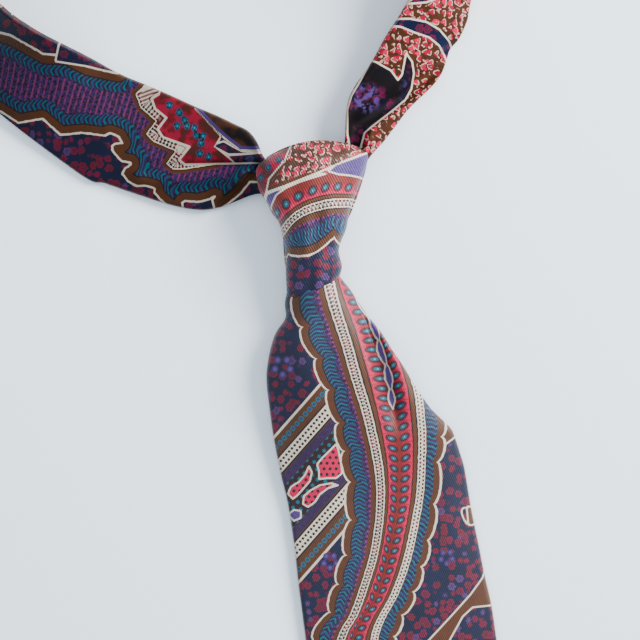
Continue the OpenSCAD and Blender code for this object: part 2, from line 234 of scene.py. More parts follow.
K0, K1, K3, K4, K6 = carry(K0, -38), carry(K1, -14), carry(K3, 0), carry(K4, 18), carry(K6, 40)
CUSP_L = [232, 262, 293, 327, 358, 389, 422, 450, 481, 519, 554, 583, 611, 640] + list(range(672, 1500, 32))
CUSP_R = [300, 330, 360, 385, 412, 436, 461, 503, 539, 565, 590, 613, 634] + list(range(664, 1500, 30))


def sash(x, y):
    k0, k1, k3, k4, k6 = (curve_at(k, y) for k in (K0, K1, K3, K4, K6))
    w = np.clip(10.0 + (420 - y) * 0.016, 8.5, 13.0)
    keys = [k0 - 300, k0, k1, k1 + w, k3, k4, k4 + 7.5, k6, k6 + 300]
    vals = [-300, 0, 26, 36, 54, 73, 81, 99, 399]
    t = np.zeros(x.shape)
    for a, b, va, vb in zip(keys[:-1], keys[1:], vals[:-1], vals[1:]):
        m = (x >= a) & (x <= b)
        t = np.where(m, va + (vb - va) * (x - a) / np.maximum(b - a, 0.5), t)
    yy = np.linspace(200, 1500, 1301)
    xx = curve_at(K3, yy)
    w = np.hanning(121)
    xx = np.convolve(np.pad(xx, 60, "reflect", reflect_type="odd"), w / w.sum(), "valid")
    s = np.interp(y, yy, np.r_[0, np.cumsum(np.hypot(np.diff(xx), np.diff(yy)))])
    # lean the cross lines so that they stand square to the sash
    slope = np.interp(y, yy, np.gradient(xx, yy))
    s = s + (x - k3) * slope / np.sqrt(1 + slope ** 2)
    lean = (x - k0) * np.clip(slope, -1, 1) * 0.5
    pl = np.interp(y + lean, CUSP_L, np.arange(len(CUSP_L)))
    pr = np.interp(y + (x - k6) * np.clip(slope, -1, 1) * 0.6, CUSP_R, np.arange(len(CUSP_R)))
    return t, s, pl, pr


# Figures drawn over the ground: (kind, outline).  0 pink, 1 brown, 2 brown with small flowers, 3 navy, 4 lavender, 5 teal drops on crimson
def figures(figs, x, y):
    best = np.full(x.shape, 60.0)
    kind = np.zeros(x.shape)
    for k, poly in figs:
        d = polygon_sd(poly, x, y)
        m = (d < 0) | ((best > 0) & (d < best))
        best = np.where(m, d, best)
        kind = np.where(m, float(k), kind)
    return best, kind


def drops(pts, r=3.6):
    return [(8, [(px + r * math.cos(w * 0.5236 * 1.0), py + 1.15 * r * math.sin(w * 0.5236)) for w in range(12)]) for px, py in pts]


def petals(cx, cy, r, n, size, turn=0.3):
    out = []
    for i in range(n):
        a = turn + 2 * math.pi * i / n
        px, py = cx + r * math.cos(a), cy + r * math.sin(a)
        out.append((7, [(px + size * math.cos(w * 0.7854), py + size * math.sin(w * 0.7854)) for w in range(8)]))
    return out


BLADE_FIGS = petals(283, 366, 8.0, 5, 4.0) + petals(446, 556, 6.0, 5, 3.0) + petals(330, 560, 6.5, 5, 3.4) + [
    (0, [(319, 470), (317, 463), (322, 457), (329, 450), (336, 443), (338, 448), (341, 462), (342, 472), (336, 477), (327, 477), (319, 478)]),
    (0, [(288, 493), (291, 486), (299, 481), (305, 474), (309, 465), (312, 471), (310, 480), (304, 487), (298, 494), (293, 498)]),
    (0, [(303, 503), (304, 495), (311, 489), (320, 484), (331, 482), (338, 484), (328, 487), (320, 493), (315, 501), (308, 506)]),
    (4, [(288, 514), (294, 509), (301, 510), (301, 517), (294, 520)]),
    (1, [(488, 560), (482, 577), (470, 593), (448, 617), (432, 634), (400, 668), (380, 700), (392, 706), (420, 672), (448, 640), (462, 615), (472, 606), (496, 604), (506, 580)]),
    (1, smooth_poly([(461, 509), (466, 506), (473, 507), (476, 514), (475, 523), (468, 524), (463, 518)], 24)),
    (6, [(440, 447), (436, 418), (444, 420), (458, 434)]),
    (0, smooth_poly([(470, 700), (490, 690), (500, 712), (486, 744), (462, 760), (456, 740), (466, 722)], 40)),
    (1, smooth_poly([(440, 745), (452, 738), (458, 760), (446, 790), (424, 812), (424, 790)], 40)),
    (5, smooth_poly([(500, 830), (520, 850), (512, 890), (488, 920), (470, 925), (474, 890), (486, 860)], 40)),
    (0, smooth_poly([(362, 905), (372, 930), (366, 965), (352, 985), (344, 960), (350, 930)], 40)),
    (4, smooth_poly([(392, 1010), (412, 1000), (420, 1030), (402, 1066), (384, 1078), (380, 1046)], 40)),
    (5, smooth_poly([(540, 1120), (562, 1112), (574, 1140), (560, 1180), (534, 1196), (528, 1160)], 40)),
    (1, smooth_poly([(420, 1120), (440, 1112), (446, 1140), (430, 1170), (412, 1160)], 40)),
    (0, smooth_poly([(540, 1240), (566, 1232), (570, 1258), (548, 1290), (528, 1286)], 40)),
]


def blade_pattern(x, y, back=False):
    t, s, pl, pr = sash(x, y)
    q = 0.756 * x + 0.655 * y - 492.0
    # the slanting medallion, repeated down the blade
    q2 = 0.756 * x + 0.655 * y - 690.0
    q3 = 0.70 * x - 0.714 * y + 420.0
    qq = np.where(y > 735, q3 + 0 * x, q)
    fig, kind = figures(BLADE_FIGS, x, y)
    return dict(t=t, s=s, pl=pl, pr=pr, q=qq, fig=fig, kind=kind, x=x, y=y)


# Knot: curves that rise to the right, y as a function of x
N_C1 = [(255, 201), (268, 195), (285, 189), (318, 176), (340, 166.5), (365, 156), (378, 150)]
N_C2 = [(262, 216), (272, 208), (276, 198), (287, 191), (305, 184), (327, 178), (345, 179), (361, 180), (378, 181)]
N_TOP = [(262, 256), (281, 229), (300, 212), (325, 203), (353, 200.5), (370, 200)]
N_BOT = [(262, 264), (282, 240), (300, 221), (325, 212), (353, 209), (370, 208)]
N_OUT = [(262, 268), (284, 262), (289, 254.5), (310, 250), (322, 244), (332, 238.4), (340, 241), (352, 240), (372, 238)]
KNOT_FIGS = [
    (5, [(240, 150), (292, 130), (292, 148), (285, 165), (276, 175), (270, 182), (267, 195), (262, 206), (240, 206)]),
    (2, [(292, 148), (285, 165), (276, 175), (270, 182), (267, 195), (285, 189.5), (318, 176.5), (340, 166.5), (366, 155.5), (384, 146), (380, 120), (330, 118), (300, 124)]),
    (4, [(335, 169), (352, 162), (372, 153), (384, 150), (384, 176), (361, 180), (348, 178.5), (338, 178), (328, 175)]),
    (4, [(262, 214), (268, 196.5), (285, 190.5), (318, 177.5), (326, 177.5), (300, 185.5), (287, 191), (277, 198), (272, 208), (271, 222)]),
] + drops([(280, 163.5), (269.5, 170.5), (262, 180)], 3.0)


def knot_pattern(x, y):
    ks = [curve_at(k, x, 0) for k in (N_OUT, N_BOT, N_TOP, N_C2)]
    keys = [ks[0] + 300] + ks + [ks[3] - 300]
    vals = [-300, 0, 26, 36, 60, 360]
    t = np.zeros(x.shape)
    for a, b, va, vb in zip(keys[:-1], keys[1:], vals[:-1], vals[1:]):
        m = (y <= a) & (y >= b)
        t = np.where(m, va + (vb - va) * (a - y) / np.maximum(a - b, 0.5), t)
    xx = np.linspace(200, 420, 221)
    yc = curve_at(N_BOT, xx, 0)
    w = np.hanning(25)
    mk = np.convolve(np.pad(np.gradient(yc, xx), 12, "edge"), w / w.sum(), "valid")
    foot = x + (y - np.interp(x, xx, yc)) * np.interp(x, xx, mk) / (1 + np.interp(x, xx, mk) ** 2)
    s = np.interp(foot, xx, np.r_[0, np.cumsum(np.hypot(np.diff(xx), np.diff(yc)))]) + 3.0
    fig, kind = figures(KNOT_FIGS, x, y)
    pl = np.interp(x, [232, 289, 334, 376, 420], [0, 1, 2, 3, 4])
    top = smooth(56, 62, t) * smooth(0, 4, fig)
    return dict(t=np.where(t > 60, np.minimum(t, 64), np.where(t > 54, 54 + (t - 54) * 0.2, t)), s=s, pl=pl, pr=pl, q=x * 0 - 200, fig=fig, kind=kind, x=x, y=y)


# Left wing
L_OUT = [(-60, 96), (-30, 112), (-5, 108), (20, 124), (44, 120), (62, 136), (84, 134), (106.3, 137), (111, 134.5), (115.2, 135.6), (120, 138), (123.3, 144), (117, 144.5), (113, 146.8), (113.5, 151), (116.3, 155.4), (122.8, 162), (131.8, 163.6),
         (131.8, 165.2), (126, 169), (122.8, 173.9), (128.2, 181.5), (136.9, 186.7), (146.6, 186.4), (155.3, 189), (155.3, 193.4), (160.7, 199.9), (166.2, 204.3), (175, 214), (183, 210), (183, 203.2), (185.7, 201.5),
         (197.6, 202.6), (208.5, 200.5), (215.5, 197.2), (212.8, 200.5), (215, 212), (227.4, 205.3), (241, 194.5), (250.8, 183.1), (262, 184), (300, 190)]
L_TOP = [(-60, 20), (-20, 34), (20, 44), (50, 60), (70, 60), (90, 69), (106, 72.5), (119.5, 75.2), (124, 62), (124, 20), (320, 20), (320, 190)]
L_REGION = L_OUT + L_TOP[::-1]
L_ZIG = [(136.3, 95.2), (141.2, 108.8), (156.4, 122.4), (146.6, 134.8), (153.1, 142.4), (175.9, 152.2), (166.7, 164.7), (173.8, 170.6), (182.4, 170.8), (197.6, 168.5), (218.2, 165.7), (219.3, 164.7), (185.7, 165.2), (180.3, 160.9),
         (191.1, 147.9), (164, 138.1), (159.1, 130.5), (167.8, 119.1), (156.4, 109.9), (153.1, 100.1), (158, 97), (166, 95), (164, 84), (150, 80), (143, 89)]
L_CRIMSON = [(153.1, 100.1), (156.4, 109.9), (167.8, 119.1), (159.1, 130.5), (164, 138.1), (191.1, 147.9), (180.3, 160.9), (185.7, 165.2), (219.3, 164.7), (236, 164.7), (228.5, 158.2), (216, 148), (222, 138), (196.5, 110.4), (194, 90), (164, 80), (160, 96)]
_dots = [(170.5, 106.6), (180.3, 114.2), (185.7, 121.8), (178.1, 127.2), (187.9, 127.2), (195.4, 129.4), (204.1, 137.5), (197.6, 137), (202, 144.6), (200.9, 154.9), (209.5, 158.2)]
LEFT_FIGS = [
    (5, L_CRIMSON),
    # kind 10: the upper flap by the knot, brown print darkened as painted shade in its hollow
    (10, [(196.5, 110.4), (207, 122.5), (218.2, 133.8), (229, 143), (241, 152.2), (258, 153), (270, 150), (270, 118), (240, 105), (205, 95), (194, 96)]),
    (3, [(215, 148.4), (218, 145), (224.7, 143), (233, 148), (243, 153.3), (256, 154.4), (270, 155), (262, 156), (230, 156), (228, 155.4)]),
    (3, [(230, 157), (256, 155.6), (272, 155), (272, 164.7), (256, 164.7), (235.6, 164.7), (228.5, 158.2)]),
    (3, [(60, 66), (66, 48), (90, 44), (112, 60), (119.5, 75.2), (106, 72.5), (90, 69)]),
] + drops(_dots)


def left_pattern(x, y):
    d0 = -polygon_sd(L_REGION, x, y)
    dz, s1 = line_sd(L_ZIG[:11], x, y)
    _, s0 = line_sd(L_OUT, x, y)
    z = polygon_sd(L_ZIG, x, y)
    fig, kind = figures(LEFT_FIGS, x, y)
    t = np.where(d0 > 0, np.where(d0 < 20.2, d0, 20.2), d0)
    near = smooth(8.0, 2.0, z)
    t = np.where((z > 0) & (z < 3.5) & (d0 > 12), 25.6 - z * 1.1, t)
    t = np.where((z <= 0) & (d0 > 6), 31.0 + np.where(s1 > -1, 0, 0) + np.clip(4.9 + z, 0, 4.9) * np.sign(dz + 1e-6), t)
    return dict(t=t, s=np.where(z < 3.5, s1, x * 0.95 + y * 0.3), pl=s0 * 0 + 0.0, pr=s0 * 0, q=x * 0 - 200, fig=fig, kind=kind, x=x, y=y)


RIGHT_FIGS = [
    # kind 11: the bowl of the right wing, navy print under painted shade
    (11, [(350, 150), (347, 135), (347, 112), (351, 99), (360, 84), (370, 65), (376, 67), (390, 74), (397, 83), (401, 78), (405, 57), (411, 65), (413, 76), (411, 90), (405, 101), (390, 114), (376, 125), (364, 135), (360, 150)]),
    (3, [(388, 32), (394, 26), (408, 25), (425, 27), (438, 33), (448, 43), (452, 50), (456, 54), (447, 63), (444, 56), (438, 48), (428, 41), (412, 37), (400, 33)]),
    (3, [(400, 12), (408, 8), (424, 0), (440, -8), (460, -14), (452, -2), (436, 4), (424, 9), (410, 11)]),
    (3, smooth_poly([(440, -40), (470, -60), (500, -62), (520, -40), (500, -30), (470, -34)], 40)),
]


def right_pattern(x, y):
    fig, kind = figures(RIGHT_FIGS, x, y)
    return dict(t=x * 0 - 150.0, s=x, pl=x * 0, pr=x * 0, q=x * 0 - 300, fig=fig, kind=kind, x=x, y=y)


# ---------------------------------------------------------------- shader building
class Sheet:
    """Small helper to write shader maths."""

    def __init__(self, name):
        self.mat = bpy.data.materials.new(name)
        self.mat.use_nodes = True
        self.nt = self.mat.node_tree
        self.p = self.nt.nodes["Principled BSDF"]

    def _in(self, sock, v):
        if v is None:
            return
        if isinstance(v, bpy.types.NodeSocket):
            self.nt.links.new(v, sock)
        else:
            sock.default_value = v

    def m(self, op, a, b=None, c=None, clamp=False):
        n = self.nt.nodes.new("ShaderNodeMath")
        n.operation = op
        n.use_clamp = clamp
        for i, v in enumerate((a, b, c)):
            self._in(n.inputs[i], v)
        return n.outputs[0]

    def vm(self, op, a, b=None, out=0):
        n = self.nt.nodes.new("ShaderNodeVectorMath")
        n.operation = op
        self._in(n.inputs[0], a)
        if b is not None:
            self._in(n.inputs[1], b)
        return n.outputs[out]

    def attr(self, name):
        n = self.nt.nodes.new("ShaderNodeAttribute")
        n.attribute_name = name
        return n

    def split(self, v):
        n = self.nt.nodes.new("ShaderNodeSeparateXYZ")
        self._in(n.inputs[0], v)
        return n.outputs

    def join(self, x, y, z=0.0):
        n = self.nt.nodes.new("ShaderNodeCombineXYZ")
        self._in(n.inputs[0], x), self._in(n.inputs[1], y), self._in(n.inputs[2], z)
        return n.outputs[0]

    def step(self, x, a, b):
        """0 below a, 1 above b, smooth between."""
        n = self.nt.nodes.new("ShaderNodeMapRange")
        n.interpolation_type = "SMOOTHSTEP"
        self._in(n.inputs["Value"], x)
        n.inputs["From Min"].default_value = a
        n.inputs["From Max"].default_value = b
        return n.outputs[0]

    def band(self, x, a, b, w=0.5):
        return self.m("MULTIPLY", self.step(x, a - w, a + w), self.m("SUBTRACT", 1.0, self.step(x, b - w, b + w)))

    def mix(self, f, a, b, kind="MIX"):
        n = self.nt.nodes.new("ShaderNodeMix")
        n.data_type = "RGBA"
        n.blend_type = kind
        self._in(n.inputs[0], f), self._in(n.inputs[6], a), self._in(n.inputs[7], b)
        return n.outputs[2]

    def noise(self, vec, scale, detail=2.0, rough=0.5, color=False):
        n = self.nt.nodes.new("ShaderNodeTexNoise")
        self._in(n.inputs["Vector"], vec)
        n.inputs["Scale"].default_value = scale
        n.inputs["Detail"].default_value = detail
        n.inputs["Roughness"].default_value = rough
        return n.outputs["Color" if color else "Fac"]

    def voronoi(self, vec, scale, rand=0.8, feature="F1"):
        n = self.nt.nodes.new("ShaderNodeTexVoronoi")
        n.feature = feature
        self._in(n.inputs["Vector"], vec)
        n.inputs["Scale"].default_value = scale
        n.inputs["Randomness"].default_value = rand
        return n.outputs

    def bump(self, h, strength, dist):
        n = self.nt.nodes.new("ShaderNodeBump")
        self._in(n.inputs["Height"], h)
        n.inputs["Strength"].default_value = strength
        n.inputs["Distance"].default_value = dist
        self.nt.links.new(n.outputs[0], self.p.inputs["Normal"])
        return n


NAVY = srgb(22, 28, 54)
NAVY2 = srgb(32, 44, 88)
BROWN = srgb(118, 76, 46)
BROWN_D = srgb(60, 38, 28)
CRIMSON = srgb(176, 28, 70)
PINK = srgb(214, 46, 98)
CRIM_D = srgb(96, 20, 46)
TEAL = srgb(44, 122, 136)
TEAL_D = srgb(20, 44, 56)
PURPLE = srgb(84, 62, 118)
LAV = srgb(122, 100, 156)
CREAM = srgb(232, 220, 202)
MAROON = srgb(62, 26, 40)
RED = srgb(160, 46, 56)
ORANGE = srgb(168, 84, 52)
DARK = srgb(30, 22, 30)


def silk_material(name, rib_angle=1.32, rib_period=2.3, rib_strength=0.55, rib_groove_shade=0.16, value=0.8, gloss=1.0):
    S = Sheet(name)
    m, step, band, mix = S.m, S.step, S.band, S.mix
    a = S.split(S.attr("pat_a").outputs["Vector"])
    b = S.split(S.attr("pat_b").outputs["Vector"])
    c = S.split(S.attr("pat_c").outputs["Vector"])
    t, s, pl = a[0], a[1], a[2]
    x, y, pr = b[0], b[1], b[2]
    fig, kind, q = c[0], c[1], c[2]
    P = S.join(x, y, 0.0)
    wob = S.noise(P, 0.22, 2.0)
    wv = m("SUBTRACT", wob, 0.5)
    tw = m("ADD", t, m("MULTIPLY", wv, 1.6))

    def scallop(ph):
        f = m("SUBTRACT", m("MULTIPLY", m("FRACT", ph), 2.0), 1.0)
        return m("SQRT", m("MAXIMUM", m("SUBTRACT", 1.0, m("MULTIPLY", f, f)), 0.0))

    sl = m("MULTIPLY", scallop(pl), m("SUBTRACT", 1.0, step(t, 8.0, 24.0)))
    sr = m("MULTIPLY", scallop(pr), step(t, 82.0, 92.0))
    tt = m("SUBTRACT", m("ADD", tw, m("MULTIPLY", sl, 6.5)), m("MULTIPLY", sr, 5.5))

    # ---- ground: navy with small red and orange flowers
    jit = S.vm("ADD", P, S.vm("MULTIPLY", S.noise(P, 0.11, 1.0, color=True), (5.0, 5.0, 0.0)))

    def flowers(scale, petals, size, rand=0.9):
        v = S.voronoi(jit, scale, rand)
        d = v["Distance"]
        rel = S.split(S.vm("SUBTRACT", S.vm("SCALE", jit), v["Position"]))
        return v, d

    vo = S.voronoi(jit, 0.120, 0.62)
    d = vo["Distance"]
    rel = S.split(S.vm("SUBTRACT", jit, vo["Position"]))
    ang = m("ARCTAN2", rel[1], rel[0])
    pet = m("MULTIPLY", m("COSINE", m("MULTIPLY", ang, 6.0)), 0.045)
    dr = m("SUBTRACT", d, pet)
    ring = m("MULTIPLY", band(dr, 0.13, 0.47, 0.05), m("ADD", 0.62, m("MULTIPLY", band(dr, 0.30, 0.47, 0.04), 0.38)))
    core = m("SUBTRACT", 1.0, step(dr, 0.08, 0.15))
    dens = step(S.noise(P, 0.024, 1.5), 0.27, 0.34)
    cellc = S.split(vo["Color"])
    fl_col = mix(step(cellc[0], 0.2, 0.9), srgb(170, 42, 78), srgb(164, 60, 62))
    fl_col = mix(core, fl_col, ORANGE)
    fl_col = mix(m("MULTIPLY", step(cellc[1], 0.86, 0.88), 1.0), fl_col, LAV)
    fl_col = mix(0.12, fl_col, CRIM_D)
    navy = mix(S.noise(P, 0.05, 2.0), NAVY, NAVY2)
    ground = mix(m("MULTIPLY", m("MAXIMUM", ring, core), dens), navy, fl_col)
    ground = mix(m("MULTIPLY", m("MULTIPLY", m("SUBTRACT", 1.0, step(d, 0.40, 0.62)), dens), 0.45), ground, srgb(84, 34, 70))

    # brown ground with pink flowers, each with a pale rim on one side
    sf = S.voronoi(S.vm("MULTIPLY", jit, (1.0, 1.0, 0.0)), 0.158, 0.62)
    sfd = sf["Distance"]
    srel = S.split(S.vm("SUBTRACT", jit, sf["Position"]))
    sang = m("ARCTAN2", srel[1], srel[0])
    lobe = m("ADD", sfd, m("MULTIPLY", m("COSINE", m("MULTIPLY", sang, 3.0)), 0.07))
    blob = m("SUBTRACT", 1.0, step(lobe, 0.40, 0.47))
    rim = m("MULTIPLY", band(lobe, 0.42, 0.54, 0.04), step(m("SINE", m("ADD", sang, m("MULTIPLY", S.split(sf["Color"])[0], 6.3))), -0.35, 0.2))
    brown0 = mix(S.noise(P, 0.12, 2.0), BROWN_D, BROWN)
    flo = mix(blob, brown0, mix(step(S.split(sf["Color"])[1], 0.3, 0.7), CRIMSON, PINK))
    flo = mix(m("MULTIPLY", m("SUBTRACT", 1.0, step(sfd, 0.05, 0.12)), 0.7), flo, CREAM)
    flo = mix(rim, flo, mix(0.25, CREAM, PINK))
    sdens = step(S.noise(P, 0.045, 1.0), 0.22, 0.28)
    flo = mix(sdens, brown0, flo)
    ground = mix(step(q, -260.0, -250.0), flo, ground)

    # ---- small pale drops and dots used in bands
    def dots(u, v, pu, pv, r, shift=0.5):
        """Round dots on a grid in (u, v)."""
        row = m("FLOOR", m("DIVIDE", v, pv))
        uu = m("ADD", m("DIVIDE", u, pu), m("MULTIPLY", row, shift))
        fu = m("SUBTRACT", m("FRACT", uu), 0.5)
        fv = m("SUBTRACT", m("FRACT", m("DIVIDE", v, pv)), 0.5)
        fu = m("MULTIPLY", fu, pu)
        fv = m("MULTIPLY", fv, pv)
        dd = m("SQRT", m("ADD", m("MULTIPLY", fu, fu), m("MULTIPLY", fv, fv)))
        return m("SUBTRACT", 1.0, step(dd, r * 0.75, r * 1.25)), dd

    # ---- sash
    rope_s = m("ADD", s, m("MULTIPLY", m("SINE", m("MULTIPLY", tt, 0.55)), 1.6))
    rope = m("ADD", m("MULTIPLY", m("SINE", m("MULTIPLY", rope_s, 1.42)), 0.5), 0.5)
    rope2 = m("ADD", m("MULTIPLY", m("SINE", m("ADD", m("MULTIPLY", s, 0.71), 1.0)), 0.5), 0.5)
    teal = mix(rope2, TEAL, srgb(52, 98, 132))
    rope_col = mix(step(rope, 0.50, 0.76), mix(rope2, srgb(40, 34, 60), srgb(74, 52, 96)), teal)
    purp_noise = S.noise(P, 0.42, 1.5)
    purp = mix(step(purp_noise, 0.45, 0.58), PURPLE, MAROON)
    pd, _ = dots(s, m("ADD", tt, 1.0), 5.4, 5.0, 1.5)
    purp = mix(pd, purp, mix(0.5, CRIMSON, LAV))
    brown = mix(S.noise(P, 0.12, 2.0), BROWN_D, BROWN)
    brown = mix(0.55, brown, BROWN)
    # pale dotted bands
    dz, _ = dots(s, m("SUBTRACT", tt, 26.0), 3.7, 5.0, 1.5)
    dz2, _ = dots(m("ADD", s, 1.9), m("SUBTRACT", tt, 23.5), 3.7, 5.0, 1.1)
    dz_col = mix(step(m("SINE", m("MULTIPLY", s, 0.23)), -0.1, 0.1), srgb(60, 34, 44), srgb(120, 40, 60))
    pale1 = mix(m("MULTIPLY", m("MAXIMUM", dz, m("MULTIPLY", dz2, 0.8)), band(tt, 27.6, 34.4, 0.5)), CREAM, dz_col)
    dy, _ = dots(s, m("SUBTRACT", tt, 73.0), 3.6, 4.0, 1.15)
    pale2 = mix(m("MULTIPLY", dy, band(tt, 74.2, 80.0, 0.4)), CREAM, dz_col)
    # crimson band with drops in mirrored rows
    mir = m("ABSOLUTE", m("SUBTRACT", tt, 54.0))
    sd = m("DIVIDE", s, 10.2)
    fs = m("MULTIPLY", m("SUBTRACT", m("FRACT", sd), 0.5), 10.2)
    dx = m("SUBTRACT", mir, 6.2)
    slant = m("ADD", fs, m("MULTIPLY", dx, 0.35))
    dd = m("SQRT", m("ADD", m("MULTIPLY", m("MULTIPLY", dx, dx), 0.55), m("MULTIPLY", slant, slant)))
    halo = m("SUBTRACT", 1.0, step(dd, 3.2, 4.4))
    drop = m("SUBTRACT", 1.0, step(dd, 1.5, 2.5))
    glint = m("SUBTRACT", 1.0, step(dd, 0.2, 0.9))
    pink = mix(step(mir, 6.0, 12.0), CRIMSON, PINK)
    pink = mix(m("MULTIPLY", m("SUBTRACT", 1.0, step(mir, 1.0, 5.0)), 0.6), pink, BROWN)
    pink = mix(m("MULTIPLY", halo, 0.8), pink, mix(0.5, TEAL_D, BROWN_D))
    pink = mix(drop, pink, TEAL)
    pink = mix(m("MULTIPLY", glint, 0.7), pink, srgb(170, 205, 215))
    tick = m("MULTIPLY", band(fs, 4.3, 5.6, 0.35), step(mir, 7.0, 9.0))
    pink = mix(m("MULTIPLY", tick, 0.45), pink, BROWN)
    # lozenge spine, only in the upper part of the blade
    fade = m("SUBTRACT", 1.0, step(y, 398.0, 412.0))
    loz = m("MULTIPLY", m("ADD", 0.9, m("MULTIPLY", m("ABSOLUTE", m("SINE", m("MULTIPLY", s, 0.125))), 2.0)), fade)
    lz = m("SUBTRACT", mir, loz)
    on_blade = step(y, 270.0, 272.0)
    pink = mix(m("MULTIPLY", m("MULTIPLY", m("SUBTRACT", 1.0, step(lz, 0.1, 0.8)), step(fade, 0.05, 0.2)), on_blade), pink, CREAM)
    pink = mix(m("MULTIPLY", m("MULTIPLY", m("SUBTRACT", 1.0, step(lz, -1.1, -0.5)), step(fade, 0.05, 0.2)), on_blade), pink, LAV)

    col = ground
    # medallion to the left of the sash
    qb = m("ABSOLUTE", m("SUBTRACT", q, 58.0))
    med = brown
    beads, bd = dots(m("SUBTRACT", m("MULTIPLY", x, 0.655), m("MULTIPLY", y, 0.756)), m("SUBTRACT", qb, 41.0), 6.4, 15.0, 2.6)
    med = mix(m("MULTIPLY", beads, band(qb, 41.5, 56.0, 0.5)), med, mix(step(bd, 0.9, 1.6), PURPLE, TEAL))
    dm, _ = dots(m("SUBTRACT", m("MULTIPLY", x, 0.655), m("MULTIPLY", y, 0.756)), m("SUBTRACT", qb, 28.6), 4.2, 5.0, 1.4)
    med = mix(band(qb, 28.0, 39.5, 0.5), med, mix(m("MULTIPLY", dm, band(qb, 29.6, 38.2, 0.4)), CREAM, srgb(60, 40, 40)))
    med = mix(band(qb, 26.4, 28.0, 0.4), med, DARK)
    med = mix(band(qb, 39.5, 41.0, 0.4), med, DARK)
    med = mix(band(qb, 17.0, 25.5, 0.6), med, mix(S.noise(P, 0.30, 1.0), PURPLE, MAROON))
    mdots, _ = dots(m("SUBTRACT", m("MULTIPLY", x, 0.655), m("MULTIPLY", y, 0.756)), qb, 7.5, 7.0, 1.9)
    inner = mix(mdots, mix(step(S.noise(P, 0.2, 1.0), 0.42, 0.55), BROWN_D, MAROON), TEAL)
    med = mix(m("SUBTRACT", 1.0, step(qb, 16.5, 17.5)), med, inner)
    med = mix(band(qb, 55.5, 58.0, 0.45), med, CREAM)
    medmask = m("MULTIPLY", m("SUBTRACT", 1.0, step(qb, 57.5, 58.5)), m("SUBTRACT", 1.0, step(tt, -1.0, 0.0)))
    col = mix(medmask, col, med)

    # figures
    figc = mix(step(kind, 0.5, 0.51), PINK, brown)
    figc = mix(step(kind, 1.5, 1.51), figc, mix(step(m("ADD", m("MULTIPLY", fig, -1.0), m("MULTIPLY", step(m("SUBTRACT", m("MULTIPLY", x, 0.25), y), -105.0, -85.0), 7.0)), 3.5, 5.5), brown, flo))
    figc = mix(step(kind, 2.5, 2.51), figc, mix(m("MULTIPLY", m("MAXIMUM", ring, core), dens), navy, mix(0.45, fl_col, NAVY2)))
    figc = mix(step(kind, 3.5, 3.51), figc, mix(S.noise(P, 0.35, 1.0), PURPLE, LAV))
    figc = mix(step(kind, 4.5, 4.51), figc, mix(step(m("ADD", S.noise(P, 0.07, 2.5), m("MULTIPLY", m("SUBTRACT", x, 190.0), 0.0)), 0.44, 0.60), mix(0.15, CRIMSON, PINK), mix(0.5, BROWN, CRIM_D)))
    figc = mix(step(kind, 5.5, 5.51), figc, brown)
    figc = mix(step(kind, 6.5, 6.51), figc, mix(step(m("MULTIPLY", fig, -1.0), 0.6, 2.4), PURPLE, LAV))
    figc = mix(step(kind, 9.5, 9.51), figc, mix(step(S.noise(P, 0.06, 2.0), 0.42, 0.62), BROWN_D, BROWN)) if False else figc
    figc = mix(step(kind, 7.5, 7.51), figc, mix(step(m("MULTIPLY", fig, -1.0), 0.9, 1.7), DARK, mix(step(m("MULTIPLY", fig, -1.0), 2.4, 3.2), TEAL, srgb(130, 190, 204))))
    # kinds 9 and up: the left wing's upper flap, brown print darkened as painted shade, with a lavender line inside its
    # outline
    flap_brown_in_shade = mix(step(S.noise(P, 0.06, 2.0), 0.42, 0.62), srgb(44, 28, 30), srgb(104, 66, 42))
    flap_brown_in_shade = mix(band(m("MULTIPLY", fig, -1.0), 1.2, 4.2, 0.5), flap_brown_in_shade, mix(0.4, LAV, PURPLE))
    figc = mix(step(kind, 8.9, 9.1), figc, flap_brown_in_shade)
    # kind 11: painted shade over the right wing's bowl, near-black brown with dim navy flowers and a lavender patch
    shade = mix(step(S.noise(P, 0.045, 2.0), 0.42, 0.60), srgb(30, 20, 26), mix(m("MULTIPLY", m("MAXIMUM", ring, core), dens), srgb(34, 30, 54), mix(0.5, fl_col, NAVY2)))
    bloom = m("SQRT", m("ADD", m("POWER", m("ABSOLUTE", m("SUBTRACT", x, 366.0)), 2.0), m("POWER", m("ABSOLUTE", m("SUBTRACT", y, 101.0)), 2.0)))
    bloom = m("MULTIPLY", m("SUBTRACT", 1.0, step(bloom, 9.0, 17.0)), step(S.noise(P, 0.16, 2.0), 0.44, 0.58))
    shade = mix(bloom, shade, mix(0.35, LAV, PURPLE))
    figc = mix(step(kind, 10.5, 10.6), figc, shade)
    fdots, _ = dots(x, y, 6.0, 5.6, 1.5)
    pinkfig = mix(m("MULTIPLY", fdots, m("SUBTRACT", 1.0, step(kind, 0.4, 0.5))), figc, TEAL_D)
    figm = m("SUBTRACT", 1.0, step(fig, -0.5, 0.5))
    figl = m("SUBTRACT", 1.0, step(m("ABSOLUTE", fig), 0.55, 1.15))
    figl = m("MULTIPLY", figl, m("SUBTRACT", 1.0, band(kind, 6.5, 9.0, 0.05)))
    outside = m("ADD", m("SUBTRACT", 1.0, step(tt, -1.0, 0.0)), step(tt, 99.0, 100.0), clamp=True)
    col = mix(m("MULTIPLY", figm, outside), col, pinkfig)
    col = mix(m("MULTIPLY", figl, outside), col, CREAM)

    def lay(col, lo, hi, colour, w=0.4):
        return mix(band(tt, lo, hi, w), col, colour)

